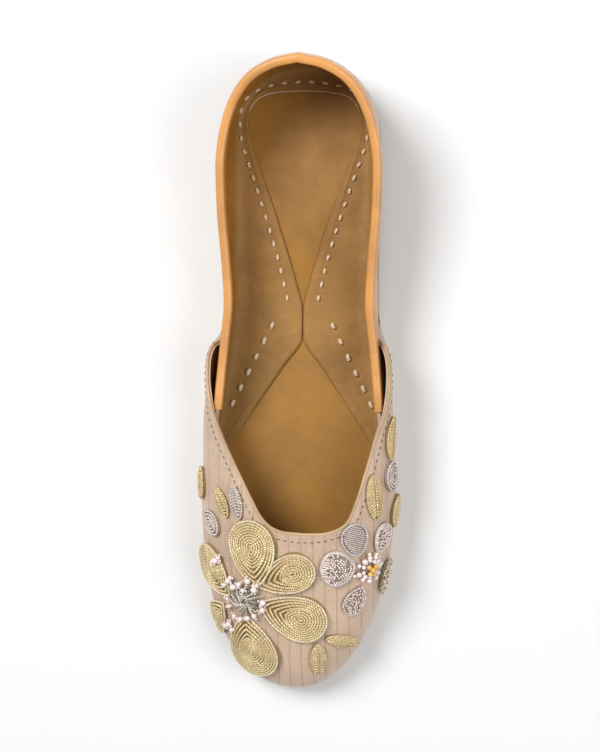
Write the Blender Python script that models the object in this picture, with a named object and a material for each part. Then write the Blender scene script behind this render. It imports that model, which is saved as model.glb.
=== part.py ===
"""Slip-on mojari shoe for the right foot, empty, standing on its sole.

Tables and sizes are in millimetres, and MM turns them into metres. X runs across the shoe, with the inner
side at +X. Y runs along it, with the heel at +Y and the toe at -Y. Z is up, from the floor.
"""

import math
from collections import namedtuple

import bmesh
import bpy
from mathutils import Matrix, Vector
from mathutils.bvhtree import BVHTree

MM = 0.001
GAP = 0.3
MERGE = 0.001
SHARP_ANGLE = math.radians(40)

LENGTH = 248.0
HEEL_RADIUS = 30.0
TOE_START = 175.0
OUTER, INNER = -1, 1
TOE_FULLNESS = {OUTER: 2.35, INNER: 2.0}

VAMP_WALL = 1.8
QUARTER_WALL = 2.4
RIM_WALL = 1.3
PARED_FROM = 0.65
VAMP_INSET = 0.4
QUARTER_INSET = 1.2

SOLE_BEVEL = 0.5
HEEL_BEVEL = 0.3
HEEL_SEAT = 6.9
HEEL_FRONT = 26.0
HEEL_INSET = 0.8
HEEL_TAPER = 0.5
HEEL_TOP_PIECE = 2.0
INSOLE_THICKNESS = 2.6
WING_THICKNESS = 1.2
BINDING_LEATHER = 0.7
BINDING_CROWN = 0.3
BINDING_DEPTH = 0.14
BINDING_FRONT = 54.5

MOTIF_GAP = 0.45
MOTIF_DOME = 0.45
MOTIF_FOLLOW = 0.6
MOTIF_SAG = 3.5
LARGE_MOTIF = 18.0
PETAL_FULLNESS = 0.565
PETAL_NECK = 0.2
LEAF_POINT = 0.3
OUTLINE_TURN = 0.001
MOTIF_REACH = 20.0
SKY = 100.0

Width = namedtuple("Width", "from_heel outer inner")
SOLE_WIDTHS = [
    Width(30, 30.0, 30.0),
    Width(60, 30.2, 30.2),
    Width(85, 29.8, 29.8),
    Width(100, 30.2, 30.2),
    Width(115, 32.0, 31.8),
    Width(130, 34.6, 34.0),
    Width(150, 37.2, 36.2),
    Width(175, 38.5, 37.0),
]

Level = namedtuple("Level", "from_heel bottom top")
SOLE_LEVELS = [
    Level(0, HEEL_SEAT, 10.7),
    Level(50, HEEL_SEAT, 10.7),
    Level(58, HEEL_SEAT, 10.6),
    Level(74, 5.4, 9.1),
    Level(98, 1.5, 5.5),
    Level(122, 0.0, 4.2),
    Level(160, 0.0, 4.2),
    Level(208, 0.0, 4.2),
    Level(228, 1.2, 5.4),
    Level(248, 5.0, 9.2),
]

# A wall section starts at the sole's edge, "foot" percent of the way from heel back to toe tip, and ends at
# the edge point. The handles bend it: foot_out and foot_up leave the sole, edge_out and edge_drop the edge.
Wall = namedtuple("Wall", "foot edge_x edge_y edge_z foot_out foot_up edge_out edge_drop")
QUARTER = [
    Wall(0.0, 0.0, 116.4, 57.0, 2.6, 14.0, 5.0, 16.0),
    Wall(4.1, 9.6, 114.3, 56.2, 2.6, 14.0, 4.6, 16.0),
    Wall(8.3, 18.4, 109.4, 53.8, 2.5, 13.0, 4.0, 15.0),
    Wall(12.4, 24.6, 101.0, 50.6, 2.4, 12.5, 3.0, 14.0),
    Wall(16.6, 28.2, 90.6, 47.6, 2.2, 12.0, 1.8, 13.0),
    Wall(21.8, 29.9, 77.0, 44.4, 2.0, 11.0, 1.0, 12.0),
    Wall(27.8, 29.5, 60.5, 40.9, 2.0, 10.0, 1.0, 11.0),
    Wall(34.1, 28.1, 42.5, 37.0, 2.0, 9.0, 1.4, 10.0),
    Wall(39.4, 27.4, 28.0, 33.8, 2.0, 8.0, 1.6, 9.0),
    Wall(44.0, 28.6, 16.0, 31.3, 1.8, 7.0, 1.2, 8.0),
    Wall(48.6, 30.0, 3.5, 29.8, 1.8, 7.0, 1.0, 8.0),
    Wall(53.7, 31.2, -10.0, 29.2, 1.8, 7.0, 1.4, 8.0),
    Wall(57.0, 32.0, -18.5, 27.4, 1.8, 7.0, 1.6, 7.0),
    Wall(59.5, 32.6, -25.0, 25.0, 1.8, 7.0, 1.6, 6.0),
]
VAMP_OUTER = [
    Wall(41.5, -31.0, 14.0, 25.0, 0.8, 7.0, 0.4, 7.0),
    Wall(43.5, -33.6, 12.0, 27.0, 0.8, 7.0, 1.0, 7.0),
    Wall(46.0, -35.2, 7.5, 29.2, 0.8, 7.0, 1.6, 7.0),
    Wall(49.0, -35.5, 0.5, 30.6, 1.0, 7.0, 2.0, 7.0),
    Wall(52.5, -34.6, -7.5, 31.2, 1.2, 7.0, 3.2, 6.0),
    Wall(56.5, -32.6, -15.0, 32.0, 1.6, 8.0, 5.8, 5.0),
    Wall(61.0, -29.6, -22.0, 33.0, 2.2, 9.0, 9.0, 5.0),
    Wall(66.0, -26.0, -29.5, 34.2, 2.5, 10.0, 12.0, 5.5),
    Wall(72.0, -21.6, -38.0, 35.4, 2.5, 11.0, 15.0, 6.0),
    Wall(79.0, -17.0, -46.8, 36.6, 2.3, 11.0, 18.0, 7.0),
    Wall(86.0, -12.3, -54.6, 37.4, 1.8, 10.0, 23.0, 9.0),
    Wall(93.0, -6.0, -58.7, 37.9, 1.2, 12.0, 27.0, 8.5),
    Wall(100.0, 3.5, -59.7, 38.0, 0.9, 12.5, 30.0, 8.5),
]
VAMP_INNER = [
    Wall(41.5, 30.8, 14.6, 25.0, 0.8, 7.0, 0.4, 7.0),
    Wall(43.5, 32.9, 12.4, 27.0, 0.8, 7.0, 1.0, 7.0),
    Wall(46.0, 34.7, 7.5, 29.2, 0.8, 7.0, 1.6, 7.0),
    Wall(49.0, 35.3, 0.5, 30.6, 1.0, 7.0, 2.0, 7.0),
    Wall(52.5, 34.9, -7.5, 31.2, 1.2, 7.0, 2.6, 6.0),
    Wall(56.5, 33.4, -14.8, 32.0, 1.6, 8.0, 4.2, 5.0),
    Wall(61.0, 30.8, -21.5, 33.0, 2.2, 9.0, 7.0, 5.0),
    Wall(66.0, 28.7, -29.0, 34.0, 2.5, 10.0, 9.0, 5.5),
    Wall(72.0, 26.3, -37.5, 35.0, 2.5, 11.0, 11.0, 6.0),
    Wall(79.0, 23.4, -47.0, 36.2, 2.3, 11.0, 13.5, 7.0),
    Wall(86.0, 19.6, -55.4, 37.2, 1.8, 10.0, 19.0, 9.0),
    Wall(93.0, 12.5, -59.1, 37.8, 1.2, 12.0, 26.0, 8.5),
    Wall(100.0, 3.5, -59.7, 38.0, 0.9, 12.5, 30.0, 8.5),
]

# Where along the sole's edge the ears begin and the quarter ends, in percent, and the step between walls.
EAR_BACK = 41.5
QUARTER_FRONT = 59.5
STEP = 0.15
SLOT_DEPTH_MIN = 0.6

# How the points of a section are shared out: the wall's outside, its inside, and the height at which the
# quarter's outside points end at the heel and the vamp's inside points change over.
OUTSIDE_POINTS = 9
INSIDE_POINTS = 8
HEEL_LEVEL = 0.72
VAMP_LEVEL = 0.62
VAMP_LEVEL_STEP = 0.06
SEARCH_STEPS = 40
NUDGE_ALONG = 0.4
NUDGE_UP = 0.02
SOLE_ENDS = 0.4

# The ear's back edge leans forward, so the quarter's sections lean with it: how far, in percent, at the rim.
Lean = namedtuple("Lean", "foot forward")
LEANS = [Lean(28.0, 0.0), Lean(41.5, 4.0), Lean(46.0, 3.0), Lean(54.0, 0.5), Lean(59.5, 0.0)]

# The slot between ear and quarter: its bottom's height at places along the sole's edge.
Slot = namedtuple("Slot", "foot bottom")
SLOTS = [
    Slot(41.5, 25.2),
    Slot(43.0, 22.0),
    Slot(45.5, 17.0),
    Slot(49.0, 15.0),
    Slot(53.5, 15.5),
    Slot(56.5, 19.0),
    Slot(58.5, 24.5),
]

# Inner edge of each lining wing: along the front of the X, up its short middle seam, round the heel window.
Wing = namedtuple("Wing", "foot inner_x inner_y")
WINGS = [
    Wing(0.0, 0.0, 111.2),
    Wing(3.0, 9.5, 110.6),
    Wing(5.5, 16.8, 108.9),
    Wing(8.3, 21.0, 104.5),
    Wing(11.5, 21.9, 98.0),
    Wing(15.0, 20.2, 90.3),
    Wing(19.0, 17.2, 81.5),
    Wing(23.0, 13.6, 71.5),
    Wing(27.5, 10.0, 61.0),
    Wing(32.0, 6.6, 50.3),
    Wing(37.0, 3.1, 38.0),
    Wing(41.0, 0.3, 25.5),
    Wing(44.5, 0.3, 15.2),
    Wing(48.0, 8.0, 3.1),
    Wing(53.0, 18.7, -12.9),
    Wing(58.0, 27.0, -26.0),
    Wing(61.8, 31.6, -34.0),
]

CLOTH = (0.60, 0.43, 0.34)
TAN_LEATHER = (0.61, 0.31, 0.12)
LINING = (0.24, 0.11, 0.02)
SOLE_LEATHER = (0.50, 0.33, 0.18)
HEEL_LEATHER = (0.30, 0.17, 0.08)
GOLD = (0.72, 0.50, 0.20)
SILVER = (0.60, 0.54, 0.47)
AMBER = (0.70, 0.38, 0.05)

# Embroidered pieces: the middle's place, the way they point (degrees from +X toward +Y) and their size.
Motif = namedtuple("Motif", "name shape x y heading length width thick colour")
MOTIFS = [
    Motif("gold_petal_1", "petal", -16.2, -66.2, 92, 24.4, 20.6, 1.6, GOLD),
    Motif("gold_petal_2", "petal", -1.2, -74.8, 24, 19.0, 17.0, 1.4, GOLD),
    Motif("gold_petal_3", "petal", 1.2, -92.6, -20, 23.0, 20.2, 1.6, GOLD),
    Motif("gold_petal_4", "petal", -16.6, -107.0, -88, 23.6, 22.6, 1.6, GOLD),
    Motif("gold_petal_5", "petal", -31.0, -95.0, -146, 17.0, 14.0, 1.4, GOLD),
    Motif("gold_petal_6", "petal", -32.8, -75.4, 150, 21.0, 18.0, 1.5, GOLD),
    Motif("gold_flower_centre", "dome", -18.7, -86.0, 0, 9.6, 9.6, 3.0, GOLD),
    Motif("silver_petal_1", "petal", 16.4, -72.4, 183, 14.0, 14.8, 1.5, SILVER),
    Motif("silver_petal_2", "petal", 22.4, -61.4, 104, 13.4, 10.8, 1.4, SILVER),
    Motif("silver_petal_3", "petal", 32.4, -61.6, 58, 12.6, 10.4, 1.4, SILVER),
    Motif("silver_petal_4", "petal", 33.8, -77.0, -36, 13.4, 12.6, 1.4, SILVER),
    Motif("silver_petal_5", "petal", 22.6, -85.2, -110, 13.4, 9.2, 1.4, SILVER),
    Motif("silver_flower_centre", "dome", 27.2, -72.4, 0, 6.4, 6.4, 2.6, AMBER),
    Motif("front_leaf_1", "leaf", 18.2, -102.2, -24, 15.6, 5.6, 1.4, GOLD),
    Motif("front_leaf_2", "leaf", 8.6, -109.2, -86, 15.0, 6.0, 1.4, GOLD),
    Motif("inner_leaf_1", "leaf", 35.2, -23.0, 72, 17.0, 8.4, 1.3, GOLD),
    Motif("inner_leaf_2", "leaf", 29.4, -45.4, -76, 18.0, 7.6, 1.4, GOLD),
    Motif("inner_leaf_3", "leaf", 37.2, -51.6, 40, 14.0, 9.0, 1.3, GOLD),
    Motif("inner_bud", "leaf", 35.6, -37.8, 96, 12.6, 9.4, 1.5, SILVER),
    Motif("outer_leaf_1", "leaf", -37.2, -42.0, 100, 13.0, 6.0, 1.3, GOLD),
    Motif("outer_leaf_2", "leaf", -28.2, -48.4, -62, 12.6, 5.2, 1.3, GOLD),
    Motif("outer_leaf_3", "leaf", -22.4, -47.8, -78, 13.6, 4.8, 1.3, SILVER),
    Motif("outer_bud", "leaf", -32.6, -57.0, -36, 12.0, 8.4, 1.4, SILVER),
]


def lerp(start, end, part):
    return start + (end - start) * part


def spread(start, end, count):
    return [lerp(start, end, i / count) for i in range(count + 1)]


def smooth_read(rows, column, place):
    """Read a column of a table at a place between its rows, on a smooth curve that never overshoots them."""
    keys = [row[0] for row in rows]
    values = [getattr(row, column) for row in rows]
    last = len(rows) - 1
    if place <= keys[0]:
        return values[0]
    if place >= keys[last]:
        return values[last]
    low = max(i for i in range(last) if keys[i] <= place)

    def slope(i):
        before, after = max(i - 1, 0), min(i + 1, last)
        turns = (values[i] - values[before]) * (values[after] - values[i]) <= 0.0
        if before < i < after and turns:
            return 0.0
        return (values[after] - values[before]) / (keys[after] - keys[before])

    span = keys[low + 1] - keys[low]
    part = (place - keys[low]) / span
    rise = part * part * (3 - 2 * part)
    enter = part * (1 - part) ** 2
    leave = part * part * (part - 1)
    return (
        lerp(values[low], values[low + 1], rise)
        + span * (slope(low) * enter + slope(low + 1) * leave)
    )


def half_width(from_heel, side):
    """Half the sole's width on one side, a given distance from the heel's back.

    The heel is a half circle. The toe is a quarter ellipse on the inner side, and a fuller one on the outer.
    """
    if from_heel <= HEEL_RADIUS:
        return math.sqrt(max(HEEL_RADIUS ** 2 - (HEEL_RADIUS - from_heel) ** 2, 0.0))
    column = "outer" if side == OUTER else "inner"
    if from_heel <= TOE_START:
        return smooth_read(SOLE_WIDTHS, column, from_heel)
    along = min((from_heel - TOE_START) / (LENGTH - TOE_START), 1.0)
    power = TOE_FULLNESS[side]
    return getattr(SOLE_WIDTHS[-1], column) * (1.0 - along ** power) ** (1.0 / power)


def edge_of(side, count=160):
    """The sole's edge from heel back to toe tip as (x, y) points, closer together at both round ends."""
    points = []
    for i in range(count + 1):
        from_heel = LENGTH * (1 - math.cos(math.pi * i / count)) / 2
        points.append(Vector((side * half_width(from_heel, side), LENGTH / 2 - from_heel)))
    return points


class FootLine:
    """The sole's edge on one side, read by percent of its length, with an inset toward the inside."""

    def __init__(self, side):
        self.side = side
        self.points = edge_of(side)
        self.runs = [0.0]
        for before, after in zip(self.points, self.points[1:]):
            self.runs.append(self.runs[-1] + (after - before).length)

    def read(self, percent, inset=0.0):
        run = self.runs[-1] * min(max(percent, 0.0), 100.0) / 100
        i = max(k for k in range(len(self.runs) - 1) if self.runs[k] <= run)
        part = (run - self.runs[i]) / (self.runs[i + 1] - self.runs[i])
        point = self.points[i].lerp(self.points[i + 1], part)
        along = (self.points[i + 1] - self.points[i]).normalized()
        outward = Vector((-along.y, along.x)) * (1 if self.side == INNER else -1)
        if percent <= 0.0:
            outward = Vector((0.0, 1.0))
        if percent >= 100.0:
            outward = Vector((0.0, -1.0))
        return point - outward * inset, outward


FOOT_LINES = {side: FootLine(side) for side in (OUTER, INNER)}


def sole_top(y):
    return smooth_read(SOLE_LEVELS, "top", LENGTH / 2 - y)


def sole_bottom(y):
    return smooth_read(SOLE_LEVELS, "bottom", LENGTH / 2 - y)


def wall_curve(table, side, percent, inset):
    """The four points of the curve that a wall section follows, from the sole to its top edge."""
    foot, outward = FOOT_LINES[side].read(percent, inset)
    flip = side if table is QUARTER else 1
    row = Wall(percent, *[smooth_read(table, name, percent) for name in Wall._fields[1:]])
    out = Vector((outward.x, outward.y, 0.0))
    start = Vector((foot.x, foot.y, sole_top(foot.y) + GAP))
    end = Vector((flip * row.edge_x, row.edge_y, row.edge_z))
    return (
        start,
        start + out * row.foot_out + Vector((0, 0, row.foot_up)),
        end + out * row.edge_out - Vector((0, 0, row.edge_drop)),
        end,
    )


def on_curve(curve, part):
    a, b, c, d = curve
    rest = 1 - part
    return a * rest ** 3 + b * 3 * rest ** 2 * part + c * 3 * rest * part ** 2 + d * part ** 3


def wall_point(table, side, percent, part, depth=0.0):
    """A point of a wall, a given depth inside its outer surface."""
    inset = QUARTER_INSET if table is QUARTER else VAMP_INSET
    point = on_curve(wall_curve(table, side, percent, inset), part)
    if depth == 0.0:
        return point
    before = on_curve(wall_curve(table, side, max(percent - NUDGE_ALONG, 0.0), inset), part)
    after = on_curve(wall_curve(table, side, min(percent + NUDGE_ALONG, 100.0), inset), part)
    along = after - before
    if percent - NUDGE_ALONG < 0.0 or percent + NUDGE_ALONG > 100.0:
        along = Vector((side, 0.0, 0.0)) * (1 if percent < 50 else -1)
    low = on_curve(wall_curve(table, side, percent, inset), max(part - NUDGE_UP, 0.0))
    high = on_curve(wall_curve(table, side, percent, inset), min(part + NUDGE_UP, 1.0))
    normal = along.cross(high - low).normalized() * -side
    inner = point - normal * depth
    if part == 0.0:
        inner.z = sole_top(inner.y) + GAP
    return inner


def part_at_height(table, side, percent, height, depth=0.0):
    """How far up a wall section a given height is reached."""
    for i in range(SEARCH_STEPS, 0, -1):
        if wall_point(table, side, percent, i / SEARCH_STEPS, depth).z <= height:
            return i / SEARCH_STEPS
    return 0.0


def vamp_table(side):
    return VAMP_OUTER if side == OUTER else VAMP_INNER


def quarter_point(side, percent, part, depth=0.0):
    """A point of the quarter's wall, on sections that lean forward near the ear."""
    return wall_point(QUARTER, side, percent + smooth_read(LEANS, "forward", percent) * part, part, depth)


def quarter_part(side, percent, height):
    """How far up a leaning quarter section a given height is reached."""
    for i in range(SEARCH_STEPS, 0, -1):
        if quarter_point(side, percent, i / SEARCH_STEPS).z <= height:
            return i / SEARCH_STEPS
    return 0.0


def quarter_ring(side, percent):
    """Section of the upper behind the ears: up the quarter's outside, over its rim and down inside."""
    ear_level = quarter_part(side, EAR_BACK, vamp_table(side)[0].edge_z)
    level = lerp(HEEL_LEVEL, ear_level, percent / EAR_BACK)
    ring = [quarter_point(side, percent, part) for part in spread(0.0, level, OUTSIDE_POINTS - 1)]
    unused_slot = [ring[-1]] * 3
    rest = [quarter_point(side, percent, (level + 1.0) / 2), quarter_point(side, percent, 1.0)]
    return ring + unused_slot + rest + inner_quarter(side, percent)


def quarter_depth(part):
    """The quarter's leather is pared thin toward its rim."""
    pared = min(max((part - PARED_FROM) / (1.0 - PARED_FROM), 0.0), 1.0)
    return lerp(QUARTER_WALL, RIM_WALL, pared)


def inner_quarter(side, percent):
    """The quarter's inner face from rim to sole."""
    parts = spread(1.0, 0.0, INSIDE_POINTS - 1)
    return [quarter_point(side, percent, part, quarter_depth(part)) for part in parts]


def outer_vamp(side, percent):
    parts = spread(0.0, 1.0, OUTSIDE_POINTS - 1)
    return [wall_point(vamp_table(side), side, percent, part) for part in parts]


def ear_inside(side, percent, part):
    """The ear's inner face, kept just outside the quarter below the quarter's rim."""
    point = wall_point(vamp_table(side), side, percent, part, VAMP_WALL)
    quarter = quarter_point(side, percent, quarter_part(side, percent, point.z))
    above_rim = point.z > quarter_point(side, percent, 1.0).z
    if side * (point.x - quarter.x) < STEP and not above_rim:
        point.x = quarter.x + side * STEP
    return point


def ear_ring(side, percent):
    """Section where the ear laps outside the quarter, with the open slot between them."""
    vamp = vamp_table(side)
    rim = quarter_point(side, percent, 1.0)
    ear_edge = ear_inside(side, percent, 1.0)
    lip = min(rim.z, ear_edge.z) - SLOT_DEPTH_MIN
    level = min(smooth_read(SLOTS, "bottom", percent), lip)
    ear_low = part_at_height(vamp, side, percent, level, VAMP_WALL)
    quarter_low = quarter_part(side, percent, level)
    bottom = (ear_inside(side, percent, ear_low) + quarter_point(side, percent, quarter_low)) / 2
    slot = [
        ear_edge,
        ear_inside(side, percent, lerp(ear_low, 1.0, 0.5)),
        bottom,
        quarter_point(side, percent, lerp(quarter_low, 1.0, 0.5)),
        rim,
    ]
    return outer_vamp(side, percent) + slot + inner_quarter(side, percent)


def vamp_ring(side, percent):
    """Section of the upper in front of the quarter: one wall from sole to throat edge and back."""
    parts = spread(1.0, VAMP_LEVEL, 4)
    parts += spread(VAMP_LEVEL - VAMP_LEVEL_STEP, 0.0, INSIDE_POINTS - 1)
    inside = [wall_point(vamp_table(side), side, percent, part, VAMP_WALL) for part in parts]
    return outer_vamp(side, percent) + inside


def upper_rings():
    """Sections all the way round: heel back, outer side, toe tip, inner side."""
    stations = [(quarter_ring, p) for p in spread(0.0, EAR_BACK - STEP, 15)]
    stations += [(ear_ring, p) for p in spread(EAR_BACK, QUARTER_FRONT, 12)]
    stations += [(vamp_ring, p) for p in spread(QUARTER_FRONT + STEP, 100.0, 18)]
    rings = [ring(OUTER, place) for ring, place in stations]
    rings += [ring(INNER, place) for ring, place in reversed(stations[1:-1])]
    return rings


def mesh_object(name, bm, colour, roughness, metallic=0.0):
    """Finish a mesh in millimetres as an object of the shoe with its own material."""
    bmesh.ops.scale(bm, vec=(MM, MM, MM), verts=bm.verts)
    bmesh.ops.recalc_face_normals(bm, faces=bm.faces)
    mesh = bpy.data.meshes.new(name)
    bm.to_mesh(mesh)
    bm.free()
    material = bpy.data.materials.new(name)
    material.use_nodes = True
    shader = material.node_tree.nodes["Principled BSDF"]
    shader.inputs["Base Color"].default_value = (*colour, 1.0)
    shader.inputs["Roughness"].default_value = roughness
    shader.inputs["Metallic"].default_value = metallic
    material.diffuse_color = (*colour, 1.0)
    mesh.materials.append(material)
    mesh.shade_smooth()
    mesh.set_sharp_from_angle(angle=SHARP_ANGLE)
    bpy.data.collections["mojari_shoe"].objects.link(bpy.data.objects.new(name, mesh))


def loft(rings, closed_path):
    """Join rings of equal length with faces. An open path gets a face on each end.

    Points of a ring that coincide are merged, and the faces between them vanish.
    """
    bm = bmesh.new()
    rows = [[bm.verts.new(point) for point in ring] for ring in rings]
    pairs = list(zip(rows, rows[1:]))
    if closed_path:
        pairs.append((rows[-1], rows[0]))
    count = len(rows[0])
    for row, after in pairs:
        for i in range(count):
            bm.faces.new((row[i], row[(i + 1) % count], after[(i + 1) % count], after[i]))
    if not closed_path:
        bm.faces.new(rows[0])
        bm.faces.new(rows[-1])
    bmesh.ops.remove_doubles(bm, verts=bm.verts, dist=MERGE)
    return bm


def build_upper():
    mesh_object("upper", loft(upper_rings(), closed_path=True), CLOTH, 0.85)


def slab_ring(percent, inset, bevel, bottom, top):
    """Cross-section of a flat layer from the outer side's edge to the inner side's, with bevelled edges."""
    ring = []
    for side in (OUTER, INNER):
        edge = FOOT_LINES[side].read(percent, inset)[0]
        shy = FOOT_LINES[side].read(percent, inset + bevel)[0]
        low, high = bottom(edge.y), top(edge.y)
        corner = [
            Vector((shy.x, shy.y, low)),
            Vector((edge.x, edge.y, low + bevel)),
            Vector((edge.x, edge.y, high - bevel)),
            Vector((shy.x, shy.y, high)),
        ]
        ring += corner if side == OUTER else corner[::-1]
    return ring


def build_slab(name, places, inset, bevel, bottom, top, colour, roughness):
    """A layer that follows the sole's outline. Its inset, bottom and top may change along it."""
    rings = [slab_ring(p, inset(p), bevel, bottom, top) for p in places]
    mesh_object(name, loft(rings, closed_path=False), colour, roughness)


def end_spread(start, end, count):
    """Places along the sole's edge that crowd together toward heel back and toe tip."""
    return [start + (end - start) * (1 - math.cos(math.pi * i / count)) / 2 for i in range(count + 1)]


def build_sole():
    """The outsole, and under its seat the two layers of the low stacked heel."""
    whole = end_spread(SOLE_ENDS, 100.0 - SOLE_ENDS, 34)
    heel = [place for place in end_spread(SOLE_ENDS, 2 * HEEL_FRONT - SOLE_ENDS, 20) if place <= HEEL_FRONT]
    build_slab(
        "outsole", whole, lambda place: 0.0, SOLE_BEVEL,
        sole_bottom, sole_top, SOLE_LEATHER, 0.6,
    )
    build_slab(
        "heel_lift", heel, lambda place: HEEL_INSET, HEEL_BEVEL,
        lambda y: HEEL_TOP_PIECE + GAP, lambda y: HEEL_SEAT - GAP, HEEL_LEATHER, 0.55,
    )
    build_slab(
        "heel_top_piece", heel, lambda place: HEEL_INSET + HEEL_TAPER, HEEL_BEVEL,
        lambda y: 0.0, lambda y: HEEL_TOP_PIECE, HEEL_LEATHER, 0.7,
    )


def insole_bottom(y):
    return sole_top(y) + GAP


def insole_top(y):
    return insole_bottom(y) + INSOLE_THICKNESS


def insole_inset(percent):
    """The insole keeps clear of the quarter, and in front of it of the vamp alone."""
    behind = QUARTER_INSET + QUARTER_WALL + 2 * GAP
    ahead = VAMP_INSET + VAMP_WALL + 2 * GAP
    change_from, change_over = QUARTER_FRONT + 0.5, 4.0
    return lerp(behind, ahead, min(max((percent - change_from) / change_over, 0.0), 1.0))


def build_insole():
    places = end_spread(SOLE_ENDS, 100.0 - SOLE_ENDS, 32)
    build_slab(
        "insole", places, insole_inset, SOLE_BEVEL,
        insole_bottom, insole_top, LINING, 0.5,
    )


def wing_ring(side, percent):
    """Section of a lining wing from its outer edge, at the wall, to its inner edge on the insole."""
    edge = FOOT_LINES[side].read(percent, QUARTER_INSET + QUARTER_WALL + 2 * GAP)[0]
    inner = Vector((side * smooth_read(WINGS, "inner_x", percent), smooth_read(WINGS, "inner_y", percent)))
    rows = [edge.lerp(inner, part) for part in spread(0.0, 1.0, 3)]
    low = [Vector((p.x, p.y, insole_top(p.y) + GAP)) for p in rows]
    return low + [p + Vector((0, 0, WING_THICKNESS)) for p in reversed(low)]


def build_wings():
    places = spread(0.0, WINGS[-1].foot, 28)
    rings = [wing_ring(OUTER, p) for p in reversed(places)]
    rings += [wing_ring(INNER, p) for p in places[1:]]
    mesh_object("lining_wings", loft(rings, closed_path=False), LINING, 0.5)


def binding_ring(side, percent):
    """Folded leather round the quarter's rim: outer leg, crown and inner leg, a gap away from it."""
    low = 1.0 - BINDING_DEPTH
    reach = GAP + BINDING_LEATHER
    top, bottom = quarter_point(side, percent, 1.0), quarter_point(side, percent, low)
    inner_top = quarter_point(side, percent, 1.0, RIM_WALL)
    inner_bottom = quarter_point(side, percent, low, quarter_depth(low))
    up = (top - bottom).normalized()
    out = (top - inner_top).normalized()
    return [
        bottom + out * GAP,
        bottom + out * reach,
        top + out * reach,
        top + out * BINDING_CROWN + up * reach,
        inner_top - out * BINDING_CROWN + up * reach,
        inner_top - out * reach,
        inner_bottom - out * reach,
        inner_bottom - out * GAP,
        inner_top - out * GAP + up * GAP,
        top + out * GAP + up * GAP,
    ]


def build_binding():
    places = spread(0.0, BINDING_FRONT, 22)
    rings = [binding_ring(OUTER, p) for p in reversed(places)]
    rings += [binding_ring(INNER, p) for p in places[1:]]
    mesh_object("collar_binding", loft(rings, closed_path=False), TAN_LEATHER, 0.45)


def teardrop(turn, length, width):
    """Outline of a petal: narrow where it leaves the flower's centre and round at its far end."""
    along = (1 - math.cos(turn)) / 2
    return length * (along - 0.5), PETAL_FULLNESS * width * math.sin(turn) * along ** PETAL_NECK


def leaf_shape(turn, length, width):
    """Outline of a leaf: pointed at both ends."""
    across = math.sin(turn)
    return -length * math.cos(turn) / 2, width / 2 * across * abs(across) ** LEAF_POINT


def disc(turn, length, width):
    return length * math.cos(turn) / 2, width * math.sin(turn) / 2


SHAPES = {"petal": teardrop, "leaf": leaf_shape, "dome": disc}


def motif_face(bm, motif, sizes, sides, place):
    """One face of a motif: rings of its outline, shrinking to a middle point. Returns its outermost ring."""
    rows = []
    for size in sizes:
        turns = [2 * math.pi * i / sides + OUTLINE_TURN for i in range(sides)]
        outline = [SHAPES[motif.shape](turn, motif.length * size, motif.width * size) for turn in turns]
        rows.append([bm.verts.new(place(a, b, size)) for a, b in outline])
    middle = bm.verts.new(place(0.0, 0.0, 0.0))
    for row, inner in zip(rows, rows[1:]):
        for i in range(sides):
            bm.faces.new((row[i], row[(i + 1) % sides], inner[(i + 1) % sides], inner[i]))
    for i in range(sides):
        bm.faces.new((rows[-1][i], rows[-1][(i + 1) % sides], middle))
    return rows[0]


def build_motif(motif, skin):
    """A sewn-on motif: a low domed solid on the vamp, whose stiff edges follow its curve only in part."""
    above = Vector((motif.x, motif.y, SKY))
    centre, normal = skin.ray_cast(above, Vector((0, 0, -1)))[:2]
    heading = math.radians(motif.heading)
    along = Vector((math.cos(heading), math.sin(heading), 0.0))
    along = (along - normal * along.dot(normal)).normalized()
    across = normal.cross(along)
    large = motif.length > LARGE_MOTIF
    sides = 16 if large else 12
    sizes = (1.0, 0.75, 0.5, 0.25) if large else (1.0, 0.65, 0.32)

    def on_vamp(a, b, height):
        flat = centre + along * a + across * b
        hit = skin.ray_cast(flat + normal * MOTIF_REACH, -normal)[0]
        drop = (flat - hit).dot(normal) if hit else MOTIF_REACH
        if drop > 0.0:
            drop = MOTIF_SAG * math.tanh(drop * MOTIF_FOLLOW / MOTIF_SAG)
        return flat + normal * (height - drop)

    def under(a, b, size):
        return on_vamp(a, b, MOTIF_GAP)

    def over(a, b, size):
        return on_vamp(a, b, MOTIF_GAP + motif.thick * (1.0 - MOTIF_DOME * size ** 2))

    bm = bmesh.new()
    low = motif_face(bm, motif, sizes, sides, under)
    high = motif_face(bm, motif, sizes, sides, over)
    for i in range(sides):
        bm.faces.new((low[i], low[(i + 1) % sides], high[(i + 1) % sides], high[i]))
    mesh_object(motif.name, bm, motif.colour, 0.45, 0.4)


def vamp_skin():
    """The upper's faces for finding where a motif lies."""
    bm = loft(upper_rings(), closed_path=True)
    bmesh.ops.recalc_face_normals(bm, faces=bm.faces)
    tree = BVHTree.FromBMesh(bm)
    bm.free()
    return tree


def build_motifs():
    skin = vamp_skin()
    for motif in MOTIFS:
        build_motif(motif, skin)


def start_scene():
    for item in list(bpy.data.objects):
        bpy.data.objects.remove(item)
    collection = bpy.data.collections.new("mojari_shoe")
    bpy.context.scene.collection.children.link(collection)


def stand_on_origin():
    """Shift the meshes until the middle of the shoe's box, at floor level, is the origin."""
    meshes = [shape.data for shape in bpy.data.collections["mojari_shoe"].objects]
    points = [vertex.co for mesh in meshes for vertex in mesh.vertices]
    low = [min(point[axis] for point in points) for axis in range(3)]
    high = [max(point[axis] for point in points) for axis in range(3)]
    middle = Vector(((low[0] + high[0]) / 2, (low[1] + high[1]) / 2, low[2]))
    for mesh in meshes:
        mesh.transform(Matrix.Translation(-middle))


def main():
    start_scene()
    build_sole()
    build_insole()
    build_upper()
    build_binding()
    build_wings()
    build_motifs()
    stand_on_origin()


main()
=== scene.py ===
import math
import random
from collections import namedtuple

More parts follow.
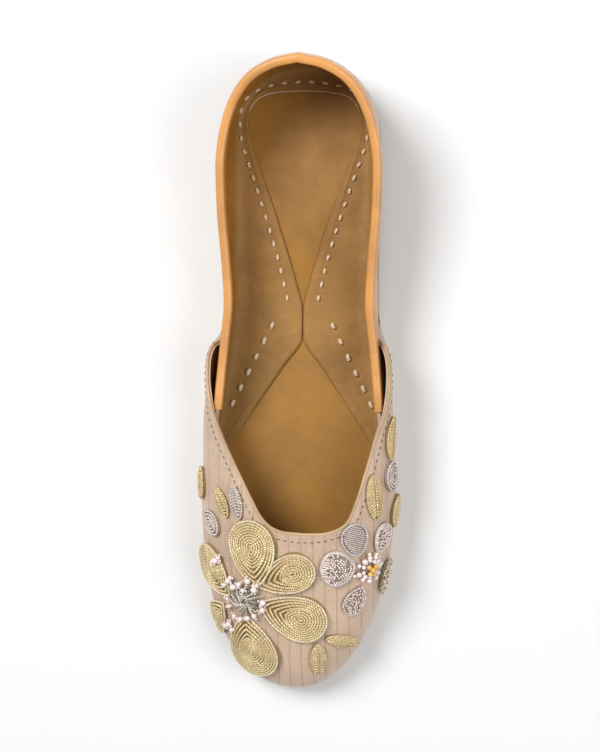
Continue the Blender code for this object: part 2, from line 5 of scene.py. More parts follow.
import bmesh
import bpy
from bpy.props import FloatProperty, FloatVectorProperty, IntProperty, PointerProperty
from mathutils import Matrix, Vector, noise
from mathutils.bvhtree import BVHTree


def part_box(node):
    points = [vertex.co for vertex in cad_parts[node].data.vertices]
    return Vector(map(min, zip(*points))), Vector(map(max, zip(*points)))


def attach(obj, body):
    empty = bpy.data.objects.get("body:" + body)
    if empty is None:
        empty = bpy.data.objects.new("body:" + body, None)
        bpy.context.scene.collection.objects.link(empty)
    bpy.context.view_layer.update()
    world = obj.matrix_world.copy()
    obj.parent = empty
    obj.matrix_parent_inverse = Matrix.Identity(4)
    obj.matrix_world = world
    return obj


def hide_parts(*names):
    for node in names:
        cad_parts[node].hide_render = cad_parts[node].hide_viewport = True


bl_info = {
    "name": "Mojari Shoe",
    "version": (1, 0, 0),
    "blender": (4, 5, 0),
    "location": "View3D > Sidebar > Mojari",
    "description": "Dresses the frame of a slip-on mojari shoe in cloth, leather, gold cord, beads and sequins",
    "category": "Object",
}

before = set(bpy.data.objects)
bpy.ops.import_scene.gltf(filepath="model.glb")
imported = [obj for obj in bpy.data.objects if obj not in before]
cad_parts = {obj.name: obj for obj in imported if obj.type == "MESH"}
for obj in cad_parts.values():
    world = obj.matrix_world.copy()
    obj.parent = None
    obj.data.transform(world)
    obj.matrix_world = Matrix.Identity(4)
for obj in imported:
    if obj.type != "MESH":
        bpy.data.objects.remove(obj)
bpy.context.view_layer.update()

# Shapes are worked out in millimetres, with the sole's heel back at +124 and its toe tip at -124 along Y, the
# inner side at +X and the floor at 0, and become metres when a piece is made.
MM = 0.001
GAP = 0.3
OUTER, INNER = -1, 1

LENGTH = 248.0
SOLE_MIDDLE = -0.75
HEEL_RADIUS = 30.0
TOE_START = 175.0
TOE_FULLNESS = {OUTER: 2.35, INNER: 2.0}
VAMP_WALL = 1.8
QUARTER_WALL = 2.4
RIM_WALL = 1.3
PARED_FROM = 0.65
VAMP_INSET = 0.4
QUARTER_INSET = 1.2
HEEL_SEAT = 6.9
HEEL_FRONT = 26.0
HEEL_INSET = 0.8
HEEL_TAPER = 0.5
HEEL_TOP_PIECE = 2.0
INSOLE_THICKNESS = 2.6
WING_THICKNESS = 1.2
BINDING_DEPTH = 0.14
BINDING_FRONT = 54.5

Width = namedtuple("Width", "from_heel outer inner")
SOLE_WIDTHS = [
    Width(30, 30.0, 30.0),
    Width(60, 30.2, 30.2),
    Width(85, 29.8, 29.8),
    Width(100, 30.2, 30.2),
    Width(115, 32.0, 31.8),
    Width(130, 34.6, 34.0),
    Width(150, 37.2, 36.2),
    Width(175, 38.5, 37.0),
]

Level = namedtuple("Level", "from_heel bottom top")
SOLE_LEVELS = [
    Level(0, HEEL_SEAT, 10.7),
    Level(50, HEEL_SEAT, 10.7),
    Level(58, HEEL_SEAT, 10.6),
    Level(74, 5.4, 9.1),
    Level(98, 1.5, 5.5),
    Level(122, 0.0, 4.2),
    Level(160, 0.0, 4.2),
    Level(208, 0.0, 4.2),
    Level(228, 1.2, 5.4),
    Level(248, 5.0, 9.2),
]

# A wall section starts at the sole's edge, "foot" percent of the way from heel back to toe tip, and ends at
# the edge point. The handles bend it: foot_out and foot_up leave the sole, edge_out and edge_drop the edge.
Wall = namedtuple("Wall", "foot edge_x edge_y edge_z foot_out foot_up edge_out edge_drop")
QUARTER = [
    Wall(0.0, 0.0, 116.4, 57.0, 2.6, 14.0, 5.0, 16.0),
    Wall(4.1, 9.6, 114.3, 56.2, 2.6, 14.0, 4.6, 16.0),
    Wall(8.3, 18.4, 109.4, 53.8, 2.5, 13.0, 4.0, 15.0),
    Wall(12.4, 24.6, 101.0, 50.6, 2.4, 12.5, 3.0, 14.0),
    Wall(16.6, 28.2, 90.6, 47.6, 2.2, 12.0, 1.8, 13.0),
    Wall(21.8, 29.9, 77.0, 44.4, 2.0, 11.0, 1.0, 12.0),
    Wall(27.8, 29.5, 60.5, 40.9, 2.0, 10.0, 1.0, 11.0),
    Wall(34.1, 28.1, 42.5, 37.0, 2.0, 9.0, 1.4, 10.0),
    Wall(39.4, 27.4, 28.0, 33.8, 2.0, 8.0, 1.6, 9.0),
    Wall(44.0, 28.6, 16.0, 31.3, 1.8, 7.0, 1.2, 8.0),
    Wall(48.6, 30.0, 3.5, 29.8, 1.8, 7.0, 1.0, 8.0),
    Wall(53.7, 31.2, -10.0, 29.2, 1.8, 7.0, 1.4, 8.0),
    Wall(57.0, 32.0, -18.5, 27.4, 1.8, 7.0, 1.6, 7.0),
    Wall(59.5, 32.6, -25.0, 25.0, 1.8, 7.0, 1.6, 6.0),
]
VAMP_OUTER = [
    Wall(41.5, -31.0, 14.0, 25.0, 0.8, 7.0, 0.4, 7.0),
    Wall(43.5, -33.6, 12.0, 27.0, 0.8, 7.0, 1.0, 7.0),
    Wall(46.0, -35.2, 7.5, 29.2, 0.8, 7.0, 1.6, 7.0),
    Wall(49.0, -35.5, 0.5, 30.6, 1.0, 7.0, 2.0, 7.0),
    Wall(52.5, -34.6, -7.5, 31.2, 1.2, 7.0, 3.2, 6.0),
    Wall(56.5, -32.6, -15.0, 32.0, 1.6, 8.0, 5.8, 5.0),
    Wall(61.0, -29.6, -22.0, 33.0, 2.2, 9.0, 9.0, 5.0),
    Wall(66.0, -26.0, -29.5, 34.2, 2.5, 10.0, 12.0, 5.5),
    Wall(72.0, -21.6, -38.0, 35.4, 2.5, 11.0, 15.0, 6.0),
    Wall(79.0, -17.0, -46.8, 36.6, 2.3, 11.0, 18.0, 7.0),
    Wall(86.0, -12.3, -54.6, 37.4, 1.8, 10.0, 23.0, 9.0),
    Wall(93.0, -6.0, -58.7, 37.9, 1.2, 12.0, 27.0, 8.5),
    Wall(100.0, 3.5, -59.7, 38.0, 0.9, 12.5, 30.0, 8.5),
]
VAMP_INNER = [
    Wall(41.5, 30.8, 14.6, 25.0, 0.8, 7.0, 0.4, 7.0),
    Wall(43.5, 32.9, 12.4, 27.0, 0.8, 7.0, 1.0, 7.0),
    Wall(46.0, 34.7, 7.5, 29.2, 0.8, 7.0, 1.6, 7.0),
    Wall(49.0, 35.3, 0.5, 30.6, 1.0, 7.0, 2.0, 7.0),
    Wall(52.5, 34.9, -7.5, 31.2, 1.2, 7.0, 2.6, 6.0),
    Wall(56.5, 33.4, -14.8, 32.0, 1.6, 8.0, 4.2, 5.0),
    Wall(61.0, 30.8, -21.5, 33.0, 2.2, 9.0, 7.0, 5.0),
    Wall(66.0, 28.7, -29.0, 34.0, 2.5, 10.0, 9.0, 5.5),
    Wall(72.0, 26.3, -37.5, 35.0, 2.5, 11.0, 11.0, 6.0),
    Wall(79.0, 23.4, -47.0, 36.2, 2.3, 11.0, 13.5, 7.0),
    Wall(86.0, 19.6, -55.4, 37.2, 1.8, 10.0, 19.0, 9.0),
    Wall(93.0, 12.5, -59.1, 37.8, 1.2, 12.0, 26.0, 8.5),
    Wall(100.0, 3.5, -59.7, 38.0, 0.9, 12.5, 30.0, 8.5),
]
EAR_BACK = 41.5
QUARTER_FRONT = 59.5
STEP = 0.15
SLOT_DEPTH_MIN = 0.6

Lean = namedtuple("Lean", "foot forward")
LEANS = [Lean(28.0, 0.0), Lean(41.5, 4.0), Lean(46.0, 3.0), Lean(54.0, 0.5), Lean(59.5, 0.0)]

Slot = namedtuple("Slot", "foot bottom")
SLOTS = [
    Slot(41.5, 25.2),
    Slot(43.0, 22.0),
    Slot(45.5, 17.0),
    Slot(49.0, 15.0),
    Slot(53.5, 15.5),
    Slot(56.5, 19.0),
    Slot(58.5, 24.5),
]

Wing = namedtuple("Wing", "foot inner_x inner_y")
WINGS = [
    Wing(0.0, 0.0, 111.2),
    Wing(3.0, 9.5, 110.6),
    Wing(5.5, 16.8, 108.9),
    Wing(8.3, 21.0, 104.5),
    Wing(11.5, 21.9, 98.0),
    Wing(15.0, 20.2, 90.3),
    Wing(19.0, 17.2, 81.5),
    Wing(23.0, 13.6, 71.5),
    Wing(27.5, 10.0, 61.0),
    Wing(32.0, 6.6, 50.3),
    Wing(37.0, 3.1, 38.0),
    Wing(41.0, 0.3, 25.5),
    Wing(44.5, 0.3, 15.2),
    Wing(48.0, 8.0, 3.1),
    Wing(53.0, 18.7, -12.9),
    Wing(58.0, 27.0, -26.0),
    Wing(61.8, 31.6, -34.0),
]

# How finely the upper is cut: points up its outside, in the slot, and down its inside.
OUTSIDE_POINTS = 30
SLOT_POINTS = 5
INSIDE_POINTS = 18
HEEL_LEVEL = 0.72
VAMP_LEVEL = 0.62
SEARCH_STEPS = 60
NUDGE_ALONG = 0.4
NUDGE_UP = 0.02


def lerp(start, end, part):
    return start + (end - start) * part


def clamp(value, low=0.0, high=1.0):
    return min(max(value, low), high)


def spread(start, end, count):
    return [lerp(start, end, i / count) for i in range(count + 1)]


def end_spread(start, end, count):
    """Places that crowd together toward both ends."""
    return [start + (end - start) * (1 - math.cos(math.pi * i / count)) / 2 for i in range(count + 1)]


def smooth_read(rows, column, place):
    """Read a column of a table at a place between its rows, on a smooth curve that never overshoots them."""
    keys = [row[0] for row in rows]
    values = [getattr(row, column) for row in rows]
    last = len(rows) - 1
    if place <= keys[0]:
        return values[0]
    if place >= keys[last]:
        return values[last]
    low = max(i for i in range(last) if keys[i] <= place)

    def slope(i):
        before, after = max(i - 1, 0), min(i + 1, last)
        turns = (values[i] - values[before]) * (values[after] - values[i]) <= 0.0
        if before < i < after and turns:
            return 0.0
        return (values[after] - values[before]) / (keys[after] - keys[before])

    span = keys[low + 1] - keys[low]
    part = (place - keys[low]) / span
    rise = part * part * (3 - 2 * part)
    enter = part * (1 - part) ** 2
    leave = part * part * (part - 1)
    return (
        lerp(values[low], values[low + 1], rise)
        + span * (slope(low) * enter + slope(low + 1) * leave)
    )


def half_width(from_heel, side):
    """Half the sole's width on one side, a given distance from the heel's back."""
    if from_heel <= HEEL_RADIUS:
        return math.sqrt(max(HEEL_RADIUS ** 2 - (HEEL_RADIUS - from_heel) ** 2, 0.0))
    column = "outer" if side == OUTER else "inner"
    if from_heel <= TOE_START:
        return smooth_read(SOLE_WIDTHS, column, from_heel)
    along = min((from_heel - TOE_START) / (LENGTH - TOE_START), 1.0)
    power = TOE_FULLNESS[side]
    return getattr(SOLE_WIDTHS[-1], column) * (1.0 - along ** power) ** (1.0 / power)


class FootLine:
    """The sole's edge on one side, read by percent of its length, with an inset toward the inside."""

    def __init__(self, side, count=160):
        self.side = side
        self.points = []
        for i in range(count + 1):
            from_heel = LENGTH * (1 - math.cos(math.pi * i / count)) / 2
            self.points.append(Vector((side * half_width(from_heel, side), LENGTH / 2 - from_heel)))
        self.runs = [0.0]
        for before, after in zip(self.points, self.points[1:]):
            self.runs.append(self.runs[-1] + (after - before).length)

    def read(self, percent, inset=0.0):
        run = self.runs[-1] * clamp(percent, 0.0, 100.0) / 100
        i = max(k for k in range(len(self.runs) - 1) if self.runs[k] <= run)
        part = (run - self.runs[i]) / (self.runs[i + 1] - self.runs[i])
        point = self.points[i].lerp(self.points[i + 1], part)
        along = (self.points[i + 1] - self.points[i]).normalized()
        outward = Vector((-along.y, along.x)) * (1 if self.side == INNER else -1)
        if percent <= 0.0:
            outward = Vector((0.0, 1.0))
        if percent >= 100.0:
            outward = Vector((0.0, -1.0))
        return point - outward * inset, outward


FOOT_LINES = {side: FootLine(side) for side in (OUTER, INNER)}


def sole_top(y):
    return smooth_read(SOLE_LEVELS, "top", LENGTH / 2 - y)


def sole_bottom(y):
    return smooth_read(SOLE_LEVELS, "bottom", LENGTH / 2 - y)


def insole_bottom(y):
    return sole_top(y) + GAP


def insole_top(y):
    return insole_bottom(y) + INSOLE_THICKNESS


def wing_top(y):
    return insole_top(y) + GAP + WING_THICKNESS


def wall_curve(table, side, percent, inset):
    """The four points of the curve that a wall section follows, from the sole to its top edge."""
    foot, outward = FOOT_LINES[side].read(percent, inset)
    flip = side if table is QUARTER else 1
    row = Wall(percent, *[smooth_read(table, name, percent) for name in Wall._fields[1:]])
    out = Vector((outward.x, outward.y, 0.0))
    start = Vector((foot.x, foot.y, sole_top(foot.y) + GAP))
    end = Vector((flip * row.edge_x, row.edge_y, row.edge_z))
    return (
        start,
        start + out * row.foot_out + Vector((0, 0, row.foot_up)),
        end + out * row.edge_out - Vector((0, 0, row.edge_drop)),
        end,
    )


def on_curve(curve, part):
    a, b, c, d = curve
    rest = 1 - part
    return a * rest ** 3 + b * 3 * rest ** 2 * part + c * 3 * rest * part ** 2 + d * part ** 3


CURVES = {}


def curve_at(table, side, percent, inset):
    """A wall curve, kept for its next use, since neighbouring points ask for the same one."""
    key = (id(table), side, round(percent, 4))
    if key not in CURVES:
        CURVES[key] = wall_curve(table, side, percent, inset)
    return CURVES[key]


def wall_point(table, side, percent, part, depth=0.0):
    """A point of a wall, a given depth inside its outer surface."""
    inset = QUARTER_INSET if table is QUARTER else VAMP_INSET
    curve = curve_at(table, side, percent, inset)
    point = on_curve(curve, part)
    if depth == 0.0:
        return point
    before = on_curve(curve_at(table, side, max(percent - NUDGE_ALONG, 0.0), inset), part)
    after = on_curve(curve_at(table, side, min(percent + NUDGE_ALONG, 100.0), inset), part)
    along = after - before
    if percent - NUDGE_ALONG < 0.0 or percent + NUDGE_ALONG > 100.0:
        along = Vector((side, 0.0, 0.0)) * (1 if percent < 50 else -1)
    low = on_curve(curve, max(part - NUDGE_UP, 0.0))
    high = on_curve(curve, min(part + NUDGE_UP, 1.0))
    normal = along.cross(high - low).normalized() * -side
    inner = point - normal * depth
    if part == 0.0:
        inner.z = sole_top(inner.y) + GAP
    return inner


def vamp_table(side):
    return VAMP_OUTER if side == OUTER else VAMP_INNER


def quarter_point(side, percent, part, depth=0.0):
    """A point of the quarter's wall, on sections that lean forward near the ear."""
    return wall_point(QUARTER, side, percent + smooth_read(LEANS, "forward", percent) * part, part, depth)


def part_at_height(point_at, height):
    """How far up a wall section a given height is reached."""
    for i in range(SEARCH_STEPS, 0, -1):
        if point_at(i / SEARCH_STEPS).z <= height:
            return i / SEARCH_STEPS
    return 0.0


def quarter_depth(part):
    """The quarter's leather is pared thin toward its rim."""
    return lerp(QUARTER_WALL, RIM_WALL, clamp((part - PARED_FROM) / (1.0 - PARED_FROM)))


def inner_quarter(side, percent):
    parts = spread(1.0, 0.0, INSIDE_POINTS - 1)
    return [quarter_point(side, percent, part, quarter_depth(part)) for part in parts]


def outer_vamp(side, percent):
    return [wall_point(vamp_table(side), side, percent, p) for p in spread(0.0, 1.0, OUTSIDE_POINTS - 1)]


CLOTH, LINING = 0, 1


def quarter_ring(side, percent):
    """Section of the upper behind the ears, with the material of each stretch between its points."""
    first_ear = vamp_table(side)[0].edge_z
    ear_level = part_at_height(lambda part: quarter_point(side, EAR_BACK, part), first_ear)
    level = lerp(HEEL_LEVEL, ear_level, percent / EAR_BACK)
    ring = [quarter_point(side, percent, part) for part in spread(0.0, level, OUTSIDE_POINTS - 1)]
    ring += [ring[-1]] * (SLOT_POINTS + 1)
    ring += [quarter_point(side, percent, part) for part in spread(level, 1.0, SLOT_POINTS)[1:]]
    cloth = len(ring)
    return ring + inner_quarter(side, percent), [CLOTH] * cloth + [LINING] * INSIDE_POINTS


def ear_inside(side, percent, part):
    """The ear's inner face, kept just outside the quarter below the quarter's rim."""
    point = wall_point(vamp_table(side), side, percent, part, VAMP_WALL)
    quarter_part = part_at_height(lambda up: quarter_point(side, percent, up), point.z)
    quarter = quarter_point(side, percent, quarter_part)
    above_rim = point.z > quarter_point(side, percent, 1.0).z
    if side * (point.x - quarter.x) < STEP and not above_rim:
        point.x = quarter.x + side * STEP
    return point


def ear_ring(side, percent):
    """Section where the ear laps outside the quarter, with the open slot between them."""
    rim = quarter_point(side, percent, 1.0)
    ear_edge = ear_inside(side, percent, 1.0)
    level = min(smooth_read(SLOTS, "bottom", percent), min(rim.z, ear_edge.z) - SLOT_DEPTH_MIN)
    vamp = vamp_table(side)
    ear_low = part_at_height(lambda up: wall_point(vamp, side, percent, up, VAMP_WALL), level)
    quarter_low = part_at_height(lambda up: quarter_point(side, percent, up), level)
    bottom = (ear_inside(side, percent, ear_low) + quarter_point(side, percent, quarter_low)) / 2
    ring = outer_vamp(side, percent)
    ring += [ear_inside(side, percent, part) for part in spread(1.0, ear_low, SLOT_POINTS)[:-1]]
    ring += [bottom]
    ring += [quarter_point(side, percent, part) for part in spread(quarter_low, 1.0, SLOT_POINTS)[1:]]
    slots = [CLOTH] * OUTSIDE_POINTS + [LINING] * SLOT_POINTS + [CLOTH] * (SLOT_POINTS + 1)
    return ring + inner_quarter(side, percent), slots + [LINING] * INSIDE_POINTS


def vamp_ring(side, percent):
    """Section of the upper in front of the quarter: one wall from sole to throat edge and back."""
    parts = spread(1.0, VAMP_LEVEL, 2 * SLOT_POINTS)
    parts += spread(VAMP_LEVEL, 0.0, INSIDE_POINTS)[1:]
    inside = [wall_point(vamp_table(side), side, percent, part, VAMP_WALL) for part in parts]
    slots = [CLOTH] * OUTSIDE_POINTS + [LINING] * len(inside)
    return outer_vamp(side, percent) + inside, slots


class Maker:
    """Collects points and faces of one piece, in millimetres, with a place on the thread for each corner."""

    def __init__(self):
        self.points = []
        self.faces = []
        self.slots = []
        self.turns = []

    def grid(self, rows, wrap_across=False, wrap_along=False, slots=None, slot=0, turns=None):
        """Faces between rows of points of equal length. Slots and turns go with the points of a row."""
        start, count = len(self.points), len(rows[0])
        for row in rows:
            self.points.extend(row)
        for r in range(len(rows) if wrap_along else len(rows) - 1):
            after = (r + 1) % len(rows)
            for i in range(count if wrap_across else count - 1):
                j = (i + 1) % count
                self.faces.append((
                    start + r * count + i, start + r * count + j,
                    start + after * count + j, start + after * count + i,
                ))
                self.slots.append(slots[r][i] if slots else slot)
                if turns:
                    self.turns.append((
                        (turns[r], i / count), (turns[r], (i + 1) / count),
                        (turns[r + 1], (i + 1) / count), (turns[r + 1], i / count),
                    ))
                else:
                    self.turns.append(((0.0, 0.0),) * 4)
        return start

    def cap(self, start, count, slot=0, flip=False):
        face = tuple(range(start, start + count))
        self.faces.append(face[::-1] if flip else face)
        self.slots.append(slot)
        self.turns.append(((0.0, 0.0),) * count)

    def build(self, name, materials, node_names, record_slot, merge=0.0):
        """Make the piece, let it ride on the shoe and stand for its CAD nodes."""
        mesh = bpy.data.meshes.new(name)
        low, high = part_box("outsole")
        shift = Vector(((low[0] + high[0]) / 2 - SOLE_MIDDLE * MM, 0.0, 0.0))
        mesh.from_pydata([tuple(point * MM + shift) for point in self.points], [], self.faces)
        mesh.polygons.foreach_set("material_index", self.slots)
        layer = mesh.uv_layers.new(name="thread")
        flat = [value for corners in self.turns for pair in corners for value in pair]
        layer.data.foreach_set("uv", flat)
        for material in materials:
            mesh.materials.append(material)
        bm = bmesh.new()
        bm.from_mesh(mesh)
        if merge:
            bmesh.ops.remove_doubles(bm, verts=bm.verts, dist=merge * MM)
        bmesh.ops.recalc_face_normals(bm, faces=bm.faces)
        bm.to_mesh(mesh)
        bm.free()
        mesh.shade_smooth()
        mesh.set_sharp_from_angle(angle=math.radians(50))
        piece = bpy.data.objects.new(name, mesh)
        bpy.context.scene.collection.objects.link(piece)
        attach(piece, "root")
        if node_names:
            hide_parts(*node_names)
        return piece


def tube(maker, path, ups, radius, sides=8, strands=0, pitch=1.6, groove=0.2, closed=False, slot=0, taper=0.0):
    """A cord along a path. Strands gives it the ridges of twisted thread, and taper thins its ends."""
    count = len(path)
    rows, turns, run = [], [0.0], 0.0
    for i, point in enumerate(path):
        before = path[(i - 1) % count] if closed or i > 0 else point
        after = path[(i + 1) % count] if closed or i < count - 1 else point
        along = (after - before).normalized()
        across = along.cross(ups[i]).normalized()
        up = across.cross(along)
        near_end = min(i, count - 1 - i) / max(count - 1, 1)
        size = radius * (1.0 - taper * max(1.0 - near_end * 5.0, 0.0) ** 2)
        row = []
        for k in range(sides):
            angle = 2 * math.pi * k / sides
            reach = size * (1.0 + groove * math.cos(strands * angle - 2 * math.pi * run / pitch)) if strands else size
            row.append(point + across * (reach * math.cos(angle)) + up * (reach * math.sin(angle)))
        rows.append(row)
        step = (path[(i + 1) % count] - point).length
        run += step
        turns.append(run)
    start = maker.grid(rows, wrap_across=True, wrap_along=closed, slot=slot, turns=turns)
    if not closed:
        maker.cap(start, sides, slot, flip=True)
        maker.cap(start + (count - 1) * sides, sides, slot)


def bead(maker, centre, radius, up=None, squash=1.0, rings=5, sides=8, slot=0):
    """A round bead, or a flattened one."""
    up = up or Vector((0, 0, 1))
    across = up.orthogonal().normalized()
    other = up.cross(across)
    rows = []
    for r in range(1, rings):
        angle = math.pi * r / rings
        level = up * (radius * squash * math.cos(angle))
        reach = radius * math.sin(angle)
        row = []
        for k in range(sides):
            turn = 2 * math.pi * k / sides
            row.append(centre + level + (across * math.cos(turn) + other * math.sin(turn)) * reach)
        rows.append(row)
    start = maker.grid(rows, wrap_across=True, slot=slot)
    top, low = len(maker.points), len(maker.points) + 1
    maker.points += [centre + up * radius * squash, centre - up * radius * squash]
    last = start + (rings - 2) * sides
    for k in range(sides):
        maker.faces += [(start + (k + 1) % sides, start + k, top), (last + k, last + (k + 1) % sides, low)]
        maker.slots += [slot, slot]
        maker.turns += [((0.0, 0.0),) * 3] * 2


class Wiring:
    """Adds and joins the nodes of one node tree."""

    def __init__(self, tree):
        self.tree = tree

    def add(self, kind, sockets=None, **settings):
        node = self.tree.nodes.new(kind)
        for key, value in settings.items():
            setattr(node, key, value)
        for key, value in (sockets or {}).items():
            self.feed(node.inputs[key], value)
        return node

    def feed(self, socket, value):
        if isinstance(value, bpy.types.NodeSocket):
            self.tree.links.new(value, socket)
        else:
            socket.default_value = value

    def math(self, operation, a, b=0.0, c=0.0):
        return self.add("ShaderNodeMath", {0: a, 1: b, 2: c}, operation=operation).outputs[0]

    def stretch(self, vector, scale):
        return self.add("ShaderNodeVectorMath", {0: vector, 1: scale}, operation="MULTIPLY").outputs[0]

    def noise(self, vector, scale, detail=3.0, rough=0.55):
        sockets = {"Vector": vector, "Scale": scale, "Detail": detail, "Roughness": rough}
        return self.add("ShaderNodeTexNoise", sockets).outputs["Fac"]

    def span(self, value, low, high, start=0.0, end=1.0):
        """Map a value's range from low..high to start..end, clamped, with soft ends."""
        sockets = {"Value": value, "From Min": low, "From Max": high, "To Min": start, "To Max": end}
        return self.add("ShaderNodeMapRange", sockets, interpolation_type="SMOOTHSTEP").outputs["Result"]

    def blend(self, factor, a, b, kind="MIX"):
        node = self.add("ShaderNodeMix", data_type="RGBA", blend_type=kind)
        for index, value in ((0, factor), (6, a), (7, b)):
            self.feed(node.inputs[index], value)
        return node.outputs[2]

    def place(self):
        return self.add("ShaderNodeTexCoord").outputs["Object"]

    def group(self, tree, **sockets):
        node = self.tree.nodes.new("ShaderNodeGroup")
        node.node_tree = tree
        for key, value in sockets.items():
            self.feed(node.inputs[key.replace("_", " ")], value)
        return node.outputs


def new_group(name, inputs, outputs):
    """A shader node group with named number sockets, and its wiring, inputs and outputs."""
    tree = bpy.data.node_groups.new(name, "ShaderNodeTree")
    for socket, default in inputs:
        made = tree.interface.new_socket(socket, in_out="INPUT", socket_type="NodeSocketFloat")
        made.default_value = default
    for socket in outputs:
        tree.interface.new_socket(socket, in_out="OUTPUT", socket_type="NodeSocketFloat")
    wiring = Wiring(tree)
    return tree, wiring, wiring.add("NodeGroupInput").outputs, wiring.add("NodeGroupOutput").inputs


def leather_grain_group():
    """Pebbled grain with fine wrinkles: Height for bump and Tone for colour and gloss."""
    tree, w, given, out = new_group("Leather Grain", [("Pebbles", 900.0), ("Wrinkles", 90.0)], ["Height", "Tone"])
    place = w.place()
    pebble = w.add("ShaderNodeTexVoronoi", {"Vector": place, "Scale": given["Pebbles"]}, feature="F1")
    ridge = w.math("ABSOLUTE", w.math("SUBTRACT", w.noise(place, given["Wrinkles"], 5.0, 0.6), 0.5))
    wrinkle = w.span(ridge, 0.0, 0.06)
    w.feed(out["Height"], w.math("MULTIPLY_ADD", pebble.outputs["Distance"], 0.45, w.math("MULTIPLY", wrinkle, 0.55)))
    w.feed(out["Tone"], w.noise(place, 38.0, 4.0, 0.6))
    return tree


def woven_threads_group():
    """Slubbed silk: long threads along the shoe crossed by threads over it."""
    tree, w, given, out = new_group("Woven Threads", [("Threads", 2600.0), ("Slub", 0.05)], ["Height", "Tone"])
    place = w.place()
    slow = w.math("MULTIPLY", given["Threads"], given["Slub"])
    along = w.add("ShaderNodeCombineXYZ", {0: given["Threads"], 1: slow, 2: given["Threads"]}).outputs[0]
    across = w.add("ShaderNodeCombineXYZ", {0: slow, 1: given["Threads"], 2: slow}).outputs[0]
    warp = w.noise(w.stretch(place, along), 1.0, 1.0)
    weft = w.noise(w.stretch(place, across), 1.0, 1.0)
    w.feed(out["Height"], w.math("ADD", warp, weft))
    w.feed(out["Tone"], w.math("MULTIPLY_ADD", w.noise(place, 30.0), 0.5, w.math("MULTIPLY", warp, 0.5)))
    return tree


def twisted_strand_group():
    """Strands that wind round a thread, from its place along and round the thread."""
    tree, w, given, out = new_group("Twisted Strand", [("Pitch", 1.2), ("Strands", 3.0)], ["Height", "Tone"])
    place = w.add("ShaderNodeSeparateXYZ", {0: w.add("ShaderNodeUVMap", uv_map="thread").outputs[0]}).outputs
    turns = w.math("DIVIDE", place["X"], given["Pitch"])
    phase = w.math("MULTIPLY_ADD", place["Y"], given["Strands"], turns)
    wave = w.math("SINE", w.math("MULTIPLY", phase, 2 * math.pi))
    w.feed(out["Height"], wave)
    w.feed(out["Tone"], w.noise(w.place(), 420.0, 2.0))
    return tree


def soil_and_shade_group():
    """Soil and handling: broad patches, and more of them close to the floor. On the sole and heel that is scuffing; on
    the lining, foot bed and wings low in the shoe it is painted shade.
    """
    tree, w, given, out = new_group("Soil and Wear", [("Reach", 0.012), ("Patches", 24.0)], ["Mask"])
    place = w.place()
    height = w.add("ShaderNodeSeparateXYZ", {0: place}).outputs["Z"]
    # Darker toward the floor: scuffing on the sole and heel, painted shade under the vamp on the lining, foot bed and
    # wings.
    low = w.span(height, 0.0, given["Reach"], 1.0, 0.0)
    patch = w.span(w.noise(place, given["Patches"], 5.0, 0.65), 0.45, 0.75)
    w.feed(out["Mask"], w.math("MULTIPLY", patch, w.math("MULTIPLY_ADD", low, 0.7, 0.3)))
    return tree


GROUPS = {}
MATERIALS = {}


def effect(name):
    builders = {
        "grain": leather_grain_group,
        "weave": woven_threads_group,
        "strand": twisted_strand_group,
        "wear": soil_and_shade_group,
    }
    if name not in GROUPS:
        GROUPS[name] = builders[name]()
    return GROUPS[name]


def shade(colour, factor):
    return (*[clamp(value * factor) for value in colour[:3]], 1.0)


def new_material(name, colour, roughness, metallic=0.0, **constants):
    """A Principled material. Constants are set on the shader's own sockets."""
    made = bpy.data.materials.new(name)
    made.use_nodes = True
    w = Wiring(made.node_tree)
    shader = made.node_tree.nodes["Principled BSDF"]
    settings = {"Base Color": shade(colour, 1.0), "Roughness": roughness, "Metallic": metallic}
    settings.update({key.replace("_", " "): value for key, value in constants.items()})
    for key, value in settings.items():
        shader.inputs[key].default_value = value
    return made, w, shader.inputs


def bump(w, height, strength, distance):
    sockets = {"Height": height, "Strength": strength, "Distance": distance * MM}
    return w.add("ShaderNodeBump", sockets).outputs["Normal"]


def leather(name, colour, roughness, pebbles, wrinkles, depth, contrast=0.3, soil_and_shade=0.25, coat=0.15):
    """Grained leather with lighter and darker patches and handled, duller spots, more of them toward the floor, where
    on the lining, foot bed and wings the darkening is painted shade.
    """
    made, w, shader = new_material(name, colour, roughness, Coat_Weight=coat, Coat_Roughness=0.35)
    grain = w.group(effect("grain"), Pebbles=pebbles, Wrinkles=wrinkles)
    wear = w.group(effect("wear"))["Mask"]
    tone = w.span(grain["Tone"], 0.3, 0.7)
    body = w.blend(tone, shade(colour, 1.0 - contrast), shade(colour, 1.0 + contrast))
    # Patches darken the colour, more toward the floor: inside the shoe this is painted shade, on the sole scuffing.
    w.feed(shader["Base Color"], w.blend(w.math("MULTIPLY", wear, soil_and_shade), body, shade(colour, 0.35)))
    w.feed(shader["Roughness"], w.span(tone, 0.0, 1.0, roughness + 0.08, roughness - 0.08))
    w.feed(shader["Normal"], bump(w, grain["Height"], 0.6, depth))
    return made


